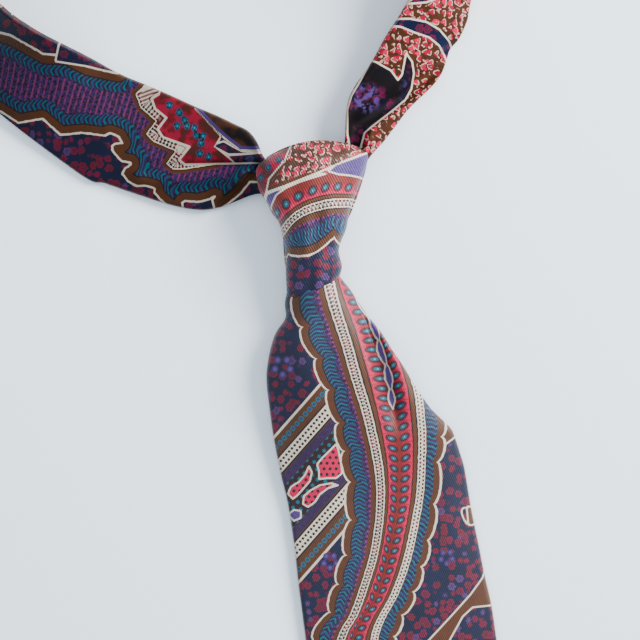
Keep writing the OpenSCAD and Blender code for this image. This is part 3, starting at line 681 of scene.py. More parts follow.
    col = lay(col, 0.0, 100.0, brown)
    col = lay(col, 8.2, 9.4, DARK)
    col = lay(col, 9.4, 19.0, rope_col, 0.8)
    col = lay(col, 18.6, 21.6, purp, 0.8)
    col = lay(col, 21.4, 25.0, mix(0.4, brown, BROWN))
    col = lay(col, 25.0, 26.2, DARK)
    col = lay(col, 26.2, 36.0, pale1)
    col = lay(col, 36.0, 37.2, DARK)
    col = lay(col, 37.2, 40.0, mix(0.3, brown, srgb(140, 98, 60)))
    col = lay(col, 40.0, 41.0, DARK)
    col = lay(col, 41.0, 67.5, pink)
    col = lay(col, 67.5, 68.5, DARK)
    col = lay(col, 68.5, 71.6, mix(0.3, brown, srgb(140, 98, 60)))
    col = lay(col, 71.6, 72.8, DARK)
    col = lay(col, 72.8, 81.2, pale2)
    col = lay(col, 81.2, 82.2, DARK)
    col = lay(col, 82.2, 90.5, rope_col, 0.8)
    col = lay(col, 90.5, 98.0, brown)
    col = lay(col, -0.9, 1.1, CREAM, 0.35)
    col = lay(col, 97.9, 100.2, CREAM, 0.35)
    # above the knot's upper pale line, figures come back over the sash
    knot_top = S.attr("fig_over").outputs["Fac"]
    col = mix(m("MULTIPLY", figm, knot_top), col, pinkfig)
    col = mix(m("MULTIPLY", figl, knot_top), col, CREAM)

    # twill ribs: a steep fine diagonal; the grooves between them are painted darker as painted shade, with random tone
    # variation on top
    rc, rs = math.cos(rib_angle), math.sin(rib_angle)
    ph = m("MULTIPLY", m("ADD", m("MULTIPLY", x, rs), m("MULTIPLY", y, -rc)), 2 * math.pi / rib_period)
    rib = m("ADD", m("MULTIPLY", m("SINE", ph), 0.5), 0.5)
    cross = m("MULTIPLY", m("ADD", m("MULTIPLY", x, rc), m("MULTIPLY", y, rs)), 2 * math.pi / (rib_period * 0.55))
    weave = m("MULTIPLY", m("ADD", m("MULTIPLY", m("SINE", m("ADD", cross, ph)), 0.5), 0.5), 0.35)
    var = S.noise(P, 0.035, 3.0)
    dark = m("SUBTRACT", 1.0, m("MULTIPLY", m("SUBTRACT", 1.0, rib), rib_groove_shade))
    dark = m("MULTIPLY", dark, m("ADD", 0.90, m("MULTIPLY", var, 0.2)))
    gray = S.join(dark, dark, dark)
    col = mix(1.0, col, gray, "MULTIPLY")
    # the folded edges of the cloth are made paler, towards a pale warm grey
    edge = S.attr("fold_edge_paling").outputs["Fac"]
    col = mix(m("MULTIPLY", edge, 0.22), col, srgb(196, 178, 166))
    g = S.nt.nodes.new("ShaderNodeGamma")
    S.nt.links.new(col, g.inputs[0])
    g.inputs[1].default_value = 1.32
    hs = S.nt.nodes.new("ShaderNodeHueSaturation")
    hs.inputs["Saturation"].default_value = 1.06
    hs.inputs["Value"].default_value = value
    S.nt.links.new(g.outputs[0], hs.inputs["Color"])
    S.nt.links.new(hs.outputs[0], S.p.inputs["Base Color"])
    S.p.inputs["Specular IOR Level"].default_value = 0.32 * gloss
    S.p.inputs["Sheen Weight"].default_value = 0.22 * gloss
    S.p.inputs["Sheen Roughness"].default_value = 0.35
    S.p.inputs["Sheen Tint"].default_value = (0.90, 0.93, 1.0, 1.0)
    rough = m("ADD", 0.46 + 0.16 * (1.0 - gloss), m("MULTIPLY", m("SUBTRACT", 1.0, rib), 0.16))
    S.nt.links.new(rough, S.p.inputs["Roughness"])
    h = m("ADD", rib, weave)
    S.bump(h, rib_strength, 0.00012)
    return S.mat


def cloth_material(name, color, color2, scale, rough=0.8, sheen=0.3, bump=0.4):
    """Plain woven or felted cloth, threads in object space."""
    S = Sheet(name)
    tc = S.nt.nodes.new("ShaderNodeTexCoord").outputs["Object"]
    v = S.split(S.vm("SCALE", tc))
    n = S.nt.nodes.new("ShaderNodeVectorMath")
    n.operation = "SCALE"
    S.nt.links.new(tc, n.inputs[0])
    n.inputs["Scale"].default_value = scale
    o = S.split(n.outputs[0])
    w = S.m("MULTIPLY", S.m("SINE", S.m("ADD", o[0], o[1])), S.m("SINE", S.m("SUBTRACT", o[0], o[1])))
    f = S.noise(tc, 260.0, 4.0)
    k = S.m("ADD", S.m("MULTIPLY", w, 0.25), S.m("MULTIPLY", f, 0.9), clamp=True)
    S.nt.links.new(S.mix(k, color2, color), S.p.inputs["Base Color"])
    S.p.inputs["Roughness"].default_value = rough
    S.p.inputs["Sheen Weight"].default_value = sheen
    S.p.inputs["Sheen Roughness"].default_value = 0.5
    S.bump(S.m("ADD", w, f), bump, 0.0001)
    return S.mat


# the same silk print in brightness copies: value brightens the knot as painted light and darkens the left wing and neck
# band as painted shade
MAT_BLADE = silk_material("silk_print_blade", value=0.68, rib_angle=1.15, rib_period=1.9, rib_strength=0.35, rib_groove_shade=0.10)
MAT_KNOT = silk_material("silk_print_knot", value=1.02, rib_angle=1.08, rib_period=2.3, rib_strength=0.8, rib_groove_shade=0.42)
MAT_RIGHT = silk_material("silk_print_neck_right", value=0.70, gloss=0.3, rib_angle=2.3, rib_period=2.0, rib_strength=0.35, rib_groove_shade=0.10)
MAT_NECK = silk_material("silk_print_neck", value=0.43, gloss=0.4, rib_angle=2.3, rib_period=2.0, rib_strength=0.35, rib_groove_shade=0.10)
MAT_TIPPING = cloth_material("tipping_silk", srgb(132, 34, 58), srgb(92, 20, 40), 9000.0, 0.5, 0.3, 0.3)
MAT_THREAD = cloth_material("thread", srgb(40, 46, 88), srgb(22, 26, 52), 16000.0, 0.55, 0.3, 0.5)
MAT_LABEL = cloth_material("label_tape", srgb(238, 234, 224), srgb(214, 208, 196), 12000.0, 0.5, 0.2, 0.3)
MAT_LTHREAD = cloth_material("label_thread", srgb(214, 208, 196), srgb(180, 172, 158), 16000.0, 0.6, 0.2, 0.4)
MAT_WOOL = cloth_material("wool_interlining", srgb(222, 214, 194), srgb(190, 180, 158), 5000.0, 0.95, 0.4, 0.8)


# ---------------------------------------------------------------- mesh building
def put_attributes(mesh, front, back, is_back_face, nverts):
    """Pattern attributes on face corners, so the print may jump at the folded edges."""
    nl = len(mesh.loops)
    vi = np.empty(nl, np.int32)
    mesh.loops.foreach_get("vertex_index", vi)
    ls = np.empty(len(mesh.polygons), np.int32)
    lt = np.empty(len(mesh.polygons), np.int32)
    mesh.polygons.foreach_get("loop_start", ls)
    mesh.polygons.foreach_get("loop_total", lt)
    flag = np.zeros(nl, bool)
    flag[np.repeat(ls, lt) + (np.arange(lt.sum()) - np.repeat(np.cumsum(lt) - lt, lt))] = np.repeat(is_back_face, lt)

    def pick(key):
        return np.where(flag, back[key][vi], front[key][vi]).astype(np.float32)

    for name, keys in (("pat_a", ("t", "s", "pl")), ("pat_b", ("x", "y", "pr")), ("pat_c", ("fig", "kind", "q"))):
        at = mesh.attributes.new(name, "FLOAT_VECTOR", "CORNER")
        at.data.foreach_set("vector", np.stack([pick(k) for k in keys], 1).ravel())
    for name in ("fold_edge_paling", "fig_over"):
        at = mesh.attributes.new(name, "FLOAT", "CORNER")
        at.data.foreach_set("value", pick(name).ravel())


def make_mesh(name, verts, faces, mat, smooth_shade=True):
    me = bpy.data.meshes.new(name)
    me.from_pydata((np.asarray(verts) / 1000.0).tolist(), [], faces)
    me.update()
    me.materials.append(mat)
    if smooth_shade:
        me.polygons.foreach_set("use_smooth", [True] * len(me.polygons))
    ob = bpy.data.objects.new(name, me)
    bpy.context.scene.collection.objects.link(ob)
    return ob


def tube(name, rings, nfront, mat, pattern, back_shift=(40.0, 25.0), cap0=True, cap1=True, over=0.0):
    """rings: (m, n, 3) in mm; ring points 0..nfront-1 are the face, the rest the back.  Closed round, capped at the ends."""
    m, n = rings.shape[:2]
    v = rings.reshape(-1, 3)
    faces, back = [], []
    idx = np.arange(m * n).reshape(m, n)
    a = idx[:-1]
    b = idx[1:]
    a2, b2 = np.roll(a, -1, 1), np.roll(b, -1, 1)
    quads = np.stack([a, a2, b2, b], -1).reshape(-1, 4)
    isb = np.broadcast_to((np.arange(n) >= nfront - 1)[None, :], (m - 1, n)).ravel()
    faces = quads.tolist()
    back = isb.tolist()
    nf = nfront

    def cap(row, flip):
        # a strip between the face side and the back side of an end ring
        f = list(range(0, nf))
        k = list(range(nf, n))[::-1]
        out = []
        j = 0
        kk = [0] + [min(len(k) - 1, int(round((i + 1) * (len(k) - 1) / (nf - 2)))) for i in range(nf - 2)]
        last = None
        for i in range(nf - 1):
            p, r = idx[row, f[i]], idx[row, f[i + 1]]
            c = kk[min(i, len(kk) - 1)]
            d = kk[min(i + 1, len(kk) - 1)]
            if c != d:
                q = [p, r, idx[row, k[d]], idx[row, k[c]]]
            else:
                q = [p, r, idx[row, k[c]]]
            out.append(q[::-1] if flip else q)
        return out

    if cap0:
        c = cap(0, False)
        faces += [[int(z) for z in q] for q in c]
        back += [True] * len(c)
    if cap1:
        c = cap(m - 1, True)
        faces += [[int(z) for z in q] for q in c]
        back += [True] * len(c)
    ob = make_mesh(name, v, faces, mat)
    dx, dy = to_draw(v[:, 0], v[:, 1])
    fold_edge_paling = getattr(tube, "fold_edge_paling", None)
    fr = pattern(dx, dy)
    bk = pattern(dx + back_shift[0], dy + back_shift[1])
    # the folded edges get the paler colour
    w = np.zeros((m, n))
    w[:, 0:2] = 1.0
    w[:, nfront - 2:nfront + 1] = 1.0
    w[:, -1] = 1.0
    for k in (fr, bk):
        k["fold_edge_paling"] = w.ravel()
        k["fig_over"] = np.full(m * n, float(over))
    put_attributes(ob.data, fr, bk, np.array(back, bool), m * n)
    return ob


# ---------------------------------------------------------------- wide blade
BL = [(292, 272), (287.5, 290), (285, 304), (285.5, 318), (275.3, 334), (269, 356), (266.6, 379), (269.5, 407.8), (273.5, 436.5), (280.8, 474), (287.5, 502), (294, 544), (298, 581), (303.6, 624), (305.6, 640)]
BR = [(328, 256), (334, 268), (342, 279.5), (349, 288), (357, 300), (368, 316), (380, 331), (391.5, 349), (403, 366), (414.4, 385), (429.4, 406.6), (441, 418.5), (450.5, 428), (455, 438), (459.6, 452), (464.5, 468.8), (471, 507.7),
      (479, 546.5), (484.5, 574.6), (491.2, 604), (496.6, 640)]
TIP_Y = OY - 454.0
SHO_Y = TIP_Y + 47.0
FOLD_Y = OY - 200.0
THROAT_Y = OY - 24.0


def edge_x(pts, ys, side):
    """Edge of the blade in part mm at part heights ys, carried on to the shoulders of the point."""
    ex, ey = to_part([p[0] for p in pts], [p[1] for p in pts])
    k = spline(np.c_[ex, ey], 400)
    o = np.argsort(k[:, 1])
    xs = np.interp(ys, k[o, 1], k[o, 0])
    ylow = k[o[0], 1]
    xlow = k[o[0], 0]
    f = np.clip((ylow - ys) / (ylow - SHO_Y), 0, 1)
    xs = np.where(ys < ylow, xlow + (OX + side * 47.0 - xlow) * f, xs)
    tip = np.clip((SHO_Y - ys) / (SHO_Y - TIP_Y), 0, 1)
    return np.where(ys < SHO_Y, OX + side * 47.0 * (1 - tip), xs)


VAL = [(349, 284), (358, 305), (368, 330), (377, 355), (385, 380), (392, 408), (397, 432)]


def blade_heights(x, y, xl, xr, ys):
    """Height of the face of the blade."""
    u = (x - xl) / np.maximum(xr - xl, 1.0) * 2 - 1           # -1 left, 1 right
    near = smooth(THROAT_Y - 95, THROAT_Y - 6, y)              # 1 at the throat
    body = 5.1 - 2.6 * np.abs(u) ** 3.0
    lift = 9.5 * near * (1 - 0.45 * u * u)
    z = body + lift
    dx, dy = to_draw(x, y)
    d, al = line_sd(smooth_poly(VAL, 30, False), dx, dy)
    fade = smooth(440, 395, dy) * smooth(268, 300, dy)
    z = z - 3.4 * np.exp(-(d / 7.0) ** 2) * fade
    # the right side of the dimple rolls up and over
    z = z + 3.2 * np.exp(-((d + 17) / 10.0) ** 2) * fade * smooth(440, 360, dy)
    # the left lobe is full
    z = z + 1.6 * np.exp(-((dx - 300) / 22.0) ** 2 - ((dy - 360) / 42.0) ** 2)
    # long soft waves
    z = z + 0.35 * np.sin(dx * 0.045 + dy * 0.014) * smooth(300, 420, dy)
    z = z + 0.22 * np.sin(dx * 0.11 - dy * 0.021 + 1.0) * smooth(300, 380, dy) * smooth(620, 480, dy)
    return z


def blade_rings(ys, n_front=141, n_back=61):
    xl = edge_x(BL, ys, -1.0)
    xr = edge_x(BR, ys, 1.0)
    rings = []
    th = np.linspace(0, math.pi, n_front)
    uf = np.cos(th * 1.0)
    uf = np.linspace(1, -1, n_front)
    uf = np.sign(uf) * (1 - (1 - np.abs(uf)) ** 1.15)
    ub = np.linspace(-1, 1, n_back + 2)[1:-1]
    for y, a, b in zip(ys, xl, xr):
        c, h = (a + b) / 2, max((b - a) / 2, 0.25)
        scale = min(1.0, h / 6.0)
        xf = c + uf * h
        zf = blade_heights(xf, np.full(n_front, y), a, b, ys)
        under = blade_heights(c + ub * h, np.full(n_back, y), a, b, ys)
        near = float(smooth(THROAT_Y - 70, THROAT_Y - 8, y))
        full = 1.25 + 1.2 * near
        rim = np.clip((1 - np.abs(uf)) * h / 1.6, 0, 1)
        zf = zf + full * scale * np.sqrt(1 - (1 - rim) ** 2) - full * scale * 0.5
        rimb = np.clip((1 - np.abs(ub)) * h / 1.6, 0, 1)
        zb = under - full * scale * np.sqrt(1 - (1 - rimb) ** 2) - full * scale * 0.5
        # the two back flaps meet in a shallow groove
        zb = zb + 0.35 * np.exp(-((c + ub * h - OX) / 1.1) ** 2) * scale * (y > TIP_Y + 70)
        tail = np.where(np.abs(c + ub * h - OX) < 23.5, 2.75, 0.35)
        zb = np.maximum(zb, np.where(y < OY - 414, 0.35, tail) * min(1.0, scale + 0.2))
        zf = np.maximum(zf, np.interp(xf, c + ub * h, zb) + 0.9 * scale * rim + 0.02)
        rings.append(np.r_[np.c_[xf, np.full(n_front, y), zf], np.c_[c + ub * h, np.full(n_back, y), zb]])
    return np.array(rings)


ys_u = np.r_[np.linspace(THROAT_Y + 12, THROAT_Y - 90, 130), np.linspace(THROAT_Y - 90.9, FOLD_Y, 96)]
blade_u = tube("blade_upper_cloth", blade_rings(ys_u), 141, MAT_BLADE, blade_pattern)
ys_l = np.r_[np.linspace(FOLD_Y, SHO_Y + 1, 230), np.linspace(SHO_Y, TIP_Y + 0.4, 56)]
blade_l = tube("blade_lower_cloth", blade_rings(ys_l), 141, MAT_BLADE, blade_pattern)


# ---------------------------------------------------------------- tail
def tail_rings():
    ys = np.r_[np.linspace(THROAT_Y + 11, OY - 58, 24), np.linspace(OY - 60, OY - 110, 30), np.linspace(OY - 113, OY - 392, 80), np.linspace(OY - 393, OY - 413.6, 22)]
    k = np.array([(-8.2, 6.0, 14), (-8.2, 6.0, -58), (-5.0, 13.0, -76), (-1, 19, -110), (0, 20.5, -200), (0, 22, -392), (0, 0.3, -414)])
    o = np.argsort(k[:, 2])
    cx = np.interp(ys - OY, k[o, 2], k[o, 0]) + OX
    hw = np.interp(ys - OY, k[o, 2], k[o, 1])
    zc = 1.15 + 2.95 * smooth(OY - 92, OY - 58, ys)
    rings = []
    nf, nb = 61, 31
    uf = np.linspace(1, -1, nf)
    ub = np.linspace(-1, 1, nb + 2)[1:-1]
    for y, c, h, z in zip(ys, cx, hw, zc):
        sc = min(1.0, h / 4.0)
        rf = np.clip((1 - np.abs(uf)) * h / 1.1, 0, 1)
        rb = np.clip((1 - np.abs(ub)) * h / 1.1, 0, 1)
        g = 0.14 * np.sin(uf * 9 + y * 0.03)
        zf = z + 0.85 * sc * np.sqrt(1 - (1 - rf) ** 2) + g * sc * rf
        zb = z - 0.85 * sc * np.sqrt(1 - (1 - rb) ** 2) + 0.3 * np.exp(-((c + ub * h - OX) / 0.9) ** 2) * (y < OY - 100)
        rings.append(np.r_[np.c_[c + uf * h, np.full(nf, y), zf], np.c_[c + ub * h, np.full(nb, y), zb]])
    return np.array(rings), nf


tr, tnf = tail_rings()


def tail_pattern(x, y):
    return blade_pattern(x - 40, y + 130)


tail = tube("tail_cloth", tr, tnf, MAT_BLADE, tail_pattern)


# ---------------------------------------------------------------- neck band
CP = [(-20, 26), (-55, 45), (-88, 63), (-112, 86), (-118, 116), (-96, 142), (-55, 153), (-5, 156), (45, 152), (80, 137), (88, 112), (69, 88), (44, 58), (19, 27)]
CTILT = [0, 0, 4, 40, 78, 90, 90, 90, 90, 88, 72, 44, 16, 0]
CHALF = [18, 21.4, 22.5, 22.5, 22.5, 21.8, 20, 20, 20, 20, 20, 19.4, 16, 12]


def centre(s):
    k = np.asarray(CP, float)
    i = min(int(s), 12)
    t = s - i
    a = 2 * k[0] - k[1] if i == 0 else k[i - 1]
    d = 2 * k[13] - k[12] if i == 12 else k[i + 2]
    b, c = k[i], k[i + 1]
    return 0.5 * (2 * b + (c - a) * t + (2 * a - 5 * b + 4 * c - d) * t * t + (3 * b - a - 3 * c + d) * t ** 3)


def cad_edges(s):
    p = centre(s)
    h = centre(min(s + 0.02, 13)) - centre(max(s - 0.02, 0))
    h /= np.linalg.norm(h)
    w = math.radians(np.interp(s, range(14), CTILT))
    hw = np.interp(s, range(14), CHALF)
    side = np.array([-h[1] * math.cos(w), h[0] * math.cos(w), -math.sin(w)])
    zc = hw * math.sin(w) + 1.9
    c = np.array([p[0] + OX, p[1] + OY, zc])
    return c - side * (hw - 0.3), c + side * (hw - 0.3)     # inner edge, outer edge


def wp(px, py, z):
    x, y = to_part(px, py)
    return (float(x), float(y), z)


# inner edge A and outer edge B of the band, from inside the knot round to inside the knot again
LA = [wp(300, 205, 8.0), wp(282, 180, 8.6), wp(266, 158, 9.6), wp(258, 143, 10.5), wp(249, 132.5, 9.8), wp(235.5, 125.5, 8.2), wp(217, 116.6, 7.0), wp(195.5, 107.5, 6.0), wp(175, 98, 5.0), wp(150.6, 87.3, 4.6), wp(120.3, 75, 6.0), wp(92, 60, 9.0)]
LB = [wp(292, 216, 7.0), wp(276, 200, 6.6), wp(262, 195, 5.6), wp(252, 196, 4.6), wp(241, 200, 3.6), wp(221, 207.6, 2.3), wp(204, 210, 1.8), wp(186, 208.5, 1.5), wp(165, 203.5, 1.4), wp(140, 195.5, 1.3), wp(106.4, 184, 1.3), wp(78, 173, 1.3)]
RA = [wp(420, -30, 26), wp(409, 0, 22.0), wp(399, 18, 19.5), wp(384, 40, 16.5), wp(370, 65, 14.0), wp(355, 87, 12.0), wp(348.4, 100, 11), wp(345.5, 114, 10.5), wp(345, 133, 10), wp(344, 150, 9.6), wp(337, 178, 9.0), wp(330, 205, 8.6)]
RB = [wp(482, -34, 2.5), wp(470, 0, 2.4), wp(465.6, 22, 2.4), wp(454, 48, 2.6), wp(446, 66, 3.0), wp(432, 86, 3.6), wp(410, 108, 4.6), wp(396, 126, 5.6), wp(383, 143, 6.6), wp(368, 160, 7.4), wp(352, 185, 7.6), wp(342, 208, 7.6)]
MA, MB = zip(*[cad_edges(s) for s in np.arange(3.0, 10.9, 0.5)])
NA = 640
A = spline(LA + [tuple(v) for v in MA] + RA, NA)
B = spline(LB + [tuple(v) for v in MB] + RB, NA)
# the midline between the two edges and its run length
mid = (A + B) / 2
arc = np.r_[0, np.cumsum(np.linalg.norm(np.diff(mid, axis=0), axis=1))]


def crease_left(u, dx, dy):
    d, _ = line_sd([(262, 166), (174, 166), (150, 160)], dx, dy)
    return d


def band_rings(i0, i1, n_front=101, n_back=51):
    uf = np.linspace(-1, 1, n_front)          # from the inner edge A to the outer edge B
    ub = np.linspace(1, -1, n_back + 2)[1:-1]
    rings = []
    for i in range(i0, i1 + 1):
        a, b = A[i], B[i]
        t = mid[min(i + 1, NA - 1)] - mid[max(i - 1, 0)]
        t /= np.linalg.norm(t)
        w = (b - a)
        half = np.linalg.norm(w) / 2
        w = w / (2 * half)
        n = np.cross(t, w)
        n /= np.linalg.norm(n)
        if False:
            n = -n
        k = arc[i]
        left = float(smooth(96, 30, k))         # 1 near the left of the knot
        rt = float(smooth(arc[-1] - 118, arc[-1] - 62, k))
        knot_l = float(smooth(62, 22, k))
        knot_r = float(smooth(arc[-1] - 62, arc[-1] - 22, k))

        c0 = (a + b) / 2

        def prof(u):
            c = 1.2 * (1 - u * u) * (1 - 0.6 * left)
            at = c0[None, :2] + np.outer(u * half, w[:2])
            dx, dy = to_draw(at[:, 0], at[:, 1])
            if left > 0.01:
                # an upper flap over a level crease, and a slanting crease below it near the knot
                d, _ = line_sd([(290, 165), (262, 166), (215, 166.5), (176, 168), (150, 172)], dx, dy)
                c = c + left * (-2.1 * np.exp(-((d - 1.0) / 3.4) ** 2) * (0.35 + 0.65 * knot_l) + 1.9 * np.exp(-((d + 11) / 8.0) ** 2) + 0.9 * np.exp(-((d - 14) / 9.0) ** 2))
                d, _ = line_sd([(262, 166), (250, 178), (234, 192), (221, 204), (212, 214)], dx, dy)
                c = c + knot_l * (-1.8 * np.exp(-((d - 0.5) / 3.0) ** 2) + 1.1 * np.exp(-((d - 8) / 5.0) ** 2))
                c = c + knot_l * 1.4 * np.exp(-((u + 0.9) / 0.16) ** 2)
            if rt > 0.01:
                # a bowl towards the inner edge; the outer strip is curled up and over it
                d, _ = line_sd([(452, 60), (424, 86), (407, 101), (386.6, 114), (364, 131), (358.4, 151), (351, 172)], dx, dy)
                out = smooth(-1.5, 4.5, -d)
                c = c + rt * (3.6 * out * np.sqrt(np.clip(1.02 - u, 0, 1)) - 3.4 * np.exp(-((d - 7) / 9.0) ** 2) * (1 - out) + 0.9 * np.exp(-((u + 0.95) / 0.15) ** 2))
            return c + 0.25 * np.sin(k * 0.09 + u * 4.0)

        tf = 1.35 * np.sqrt(np.clip(1 - np.clip((np.abs(uf) - 1) * half / 1.5 + 1, 0, 1) ** 2, 0, 1))
        tb = 1.35 * np.sqrt(np.clip(1 - np.clip((np.abs(ub) - 1) * half / 1.5 + 1, 0, 1) ** 2, 0, 1))
        pf = c0 + np.outer(uf * half, w) + np.outer(prof(uf) + tf, n)
        groove = 0.35 * np.exp(-(ub * half / 1.0) ** 2)
        pb = c0 + np.outer(ub * half, w) + np.outer(prof(ub) - tb + groove, n)
        pf[:, 2] = np.maximum(pf[:, 2], 0.5)
        pb[:, 2] = np.maximum(pb[:, 2], 0.3)
        rings.append(np.r_[pf, pb])
    return np.array(rings), n_front


def flat_nape(x, y, r):
    return x, y


ar = arc / UNIT


def nape_pattern_for(i0, i1, n):
    """The nape runs on edge, so its print is laid along its own length."""
    def f(x, y):
        m = i1 - i0 + 1
        u = np.tile(np.r_[np.linspace(-1, 1, 101), np.linspace(1, -1, 53)[1:-1]], m) * 52
        k = np.repeat(ar[i0:i1 + 1], n)
        return blade_pattern(AX(k + 480) + u + 12, k + 480)
    return f


iL = int(np.argmin(np.abs(arc - 150)))
iR = int(np.argmin(np.abs(arc - (arc[-1] - 150))))
rl, nf = band_rings(0, iL)
left_wing = tube("left_wing_cloth", rl, nf, MAT_NECK, left_pattern, over=1.0)
rn, nf = band_rings(iL, iR)
nape = tube("neck_band_cloth", rn, nf, MAT_NECK, nape_pattern_for(iL, iR, rn.shape[1]), back_shift=(0, 0))
rr, nf = band_rings(iR, NA - 1)
right_wing = tube("right_wing_cloth", rr, nf, MAT_RIGHT, right_pattern, over=1.0)


# ---------------------------------------------------------------- knot
def knot_surface(inset=0.0, nv=120, nu=150):
    """The front wrap as a closed lofted band: rings run round the knot, the first at its throat."""
    KL = [(287, 296), (287, 292.7), (286.3, 278), (286, 265.6), (285, 249), (282.8, 237.4), (280, 225.4), (274.7, 216.8), (269, 206), (261, 194), (257.2, 181), (256.8, 171), (262, 163.5), (266, 161.5)]
    KR = [(333, 283.5), (339, 277), (341.8, 267.5), (340.2, 259), (338.7, 251.5), (341.4, 241), (346, 230), (348.4, 217), (352.4, 204), (360, 184), (365.5, 168), (368.5, 157.5), (367, 154.5), (362, 152)]
    L = spline(KL, nv)
    R = spline(KR, nv)
    lx, ly = to_part(L[:, 0], L[:, 1])
    rx, ry = to_part(R[:, 0], R[:, 1])
    f = np.linspace(0, 1, nv)
    top = 15.5 + 8.3 * np.sin(np.clip(f * 1.08, 0, 1) * math.pi * 0.62)
    top = top - 5.5 * smooth(0.86, 1.0, f)
    rings = []
    for i in range(nv):
        c = np.array([(lx[i] + rx[i]) / 2, (ly[i] + ry[i]) / 2])
        e = np.array([(rx[i] - lx[i]) / 2, (ry[i] - ly[i]) / 2])
        h = np.linalg.norm(e)
        d = e / h
        nrm = np.array([-d[1], d[0]])
        h -= inset
        a = np.linspace(0, 2 * math.pi, nu, endpoint=False)
        pw = 0.80
        cu = np.sign(np.cos(a)) * np.abs(np.cos(a)) ** pw
        su = np.sign(np.sin(a)) * np.abs(np.sin(a)) ** 0.9
        z0 = 8.2
        zt, zb = top[i] - inset - z0, z0 - 1.2 - inset
        z = z0 + np.where(su > 0, su * zt, su * zb)
        # top and bottom lips are curved in plan
        bow = 4.4 * smooth(0.80, 1.0, f[i]) * (1 - cu ** 2) - 1.4 * smooth(0.14, 0.0, f[i]) * (1 - cu ** 2) * (1 + 0.6 * cu)
        x = c[0] + d[0] * cu * h + nrm[0] * bow
        y = c[1] + d[1] * cu * h + nrm[1] * bow
        # a few soft pulls in the silk
        z = z + np.where(su > 0, su, 0) * (0.35 * np.sin(cu * 5 + f[i] * 9.0) + 0.25 * np.sin(cu * 11 - f[i] * 6.0))
        rings.append(np.c_[x, y, z])
    return np.array(rings)


def lip(rings, at_start, depth=1.2, steps=6, back=2.4):
    """Rolls the end of a loft inward so that it has a folded lip and a dark mouth."""
    r = rings[0] if at_start else rings[-1]
    q = rings[3] if at_start else rings[-4]
    c = r.mean(0)
    dirn = (r - q).mean(0)
    dirn /= np.linalg.norm(dirn)
    out = []
    for k in range(1, steps + 1):
        a = k / steps * math.pi * 0.95
        inw = 1 - (1 - math.cos(a)) * depth / 22.0
        s = r.copy()
        s[:, :2] = c[:2] + (r[:, :2] - c[:2]) * inw
        s[:, 2] = c[2] + (r[:, 2] - c[2]) * (1 - (1 - math.cos(a)) * depth / 9.0)
        s += dirn * math.sin(a) * depth * 0.8
        out.append(s)
    last = out[-1]
    for k in range(1, 5):
        s = last.copy()
        s[:, :2] = c[:2] + (last[:, :2] - c[:2]) * (1 - 0.05 * k)
        s[:, 2] = c[2] + (last[:, 2] - c[2]) * (1 - 0.05 * k)
        s -= dirn * back * k
        out.append(s)
    return out[::-1] if at_start else out


ks = knot_surface()
full = np.array(lip(ks, True) + list(ks) + lip(ks, False))


def knot_mesh():
    m, n = full.shape[:2]
    v = full.reshape(-1, 3)
    idx = np.arange(m * n).reshape(m, n)
    a, b = idx[:-1], idx[1:]
    a2, b2 = np.roll(a, -1, 1), np.roll(b, -1, 1)
    quads = np.stack([a, a2, b2, b], -1).reshape(-1, 4).tolist()
    ob = make_mesh("knot_cloth", v, quads, MAT_KNOT)
    dx, dy = to_draw(v[:, 0], v[:, 1])
    fr = knot_pattern(dx, dy)
    bk = knot_pattern(dx - 14, dy + 20)
    z = v[:, 2]
    w = np.zeros(m * n)
    for k in (fr, bk):
        k["fold_edge_paling"] = w
        k["fig_over"] = np.ones(m * n)
    isb = (full[:-1, :, 2] < 7.0).ravel()
    put_attributes(ob.data, fr, bk, isb, m * n)
    return ob


knot = knot_mesh()


# ---------------------------------------------------------------- back: wrap, tipping, keeper, label, stitches
def slab_grid(name, x0, x1, y0, y1, zfun, thick, mat, nx=40, ny=24, rim=0.6, pattern=None, shift=(60, 300)):
    """A thin cushioned strip of cloth with rounded edges between two corners."""
    xs = np.linspace(x0, x1, nx)
    ys = np.linspace(y0, y1, ny)
    X, Y = np.meshgrid(xs, ys)
    Z = zfun(X, Y)
    ex = np.minimum(np.minimum(X - x0, x1 - X), np.minimum(Y - y0, y1 - Y))
    r = np.sqrt(1 - (1 - np.clip(ex / rim, 0, 1)) ** 2)
    top = Z + thick / 2 * r
    bot = Z - thick / 2 * r
    V = np.r_[np.c_[X.ravel(), Y.ravel(), top.ravel()], np.c_[X.ravel(), Y.ravel(), bot.ravel()]]
    N = nx * ny
    I = np.arange(N).reshape(ny, nx)
    q = np.stack([I[:-1, :-1], I[:-1, 1:], I[1:, 1:], I[1:, :-1]], -1).reshape(-1, 4)
    faces = q.tolist() + (q[:, ::-1] + N).tolist()
    rimi = list(I[0, :]) + list(I[1:, -1]) + list(I[-1, :-1][::-1]) + list(I[1:-1, 0][::-1])
    for a, b in zip(rimi, rimi[1:] + rimi[:1]):
        faces.append([int(b), int(a), int(a) + N, int(b) + N])
    ob = make_mesh(name, V, faces, mat)
    if pattern is not None:
        dx, dy = to_draw(V[:, 0], V[:, 1])
        fr = pattern(dx + shift[0], dy + shift[1])
        # the rounded rim gets the paler colour
        fr["fold_edge_paling"] = np.clip(np.r_[1 - r.ravel(), 1 - r.ravel()], 0, 1)
        fr["fig_over"] = np.zeros(2 * N)
        put_attributes(ob.data, fr, fr, np.zeros(len(ob.data.polygons), bool), 2 * N)
    return ob


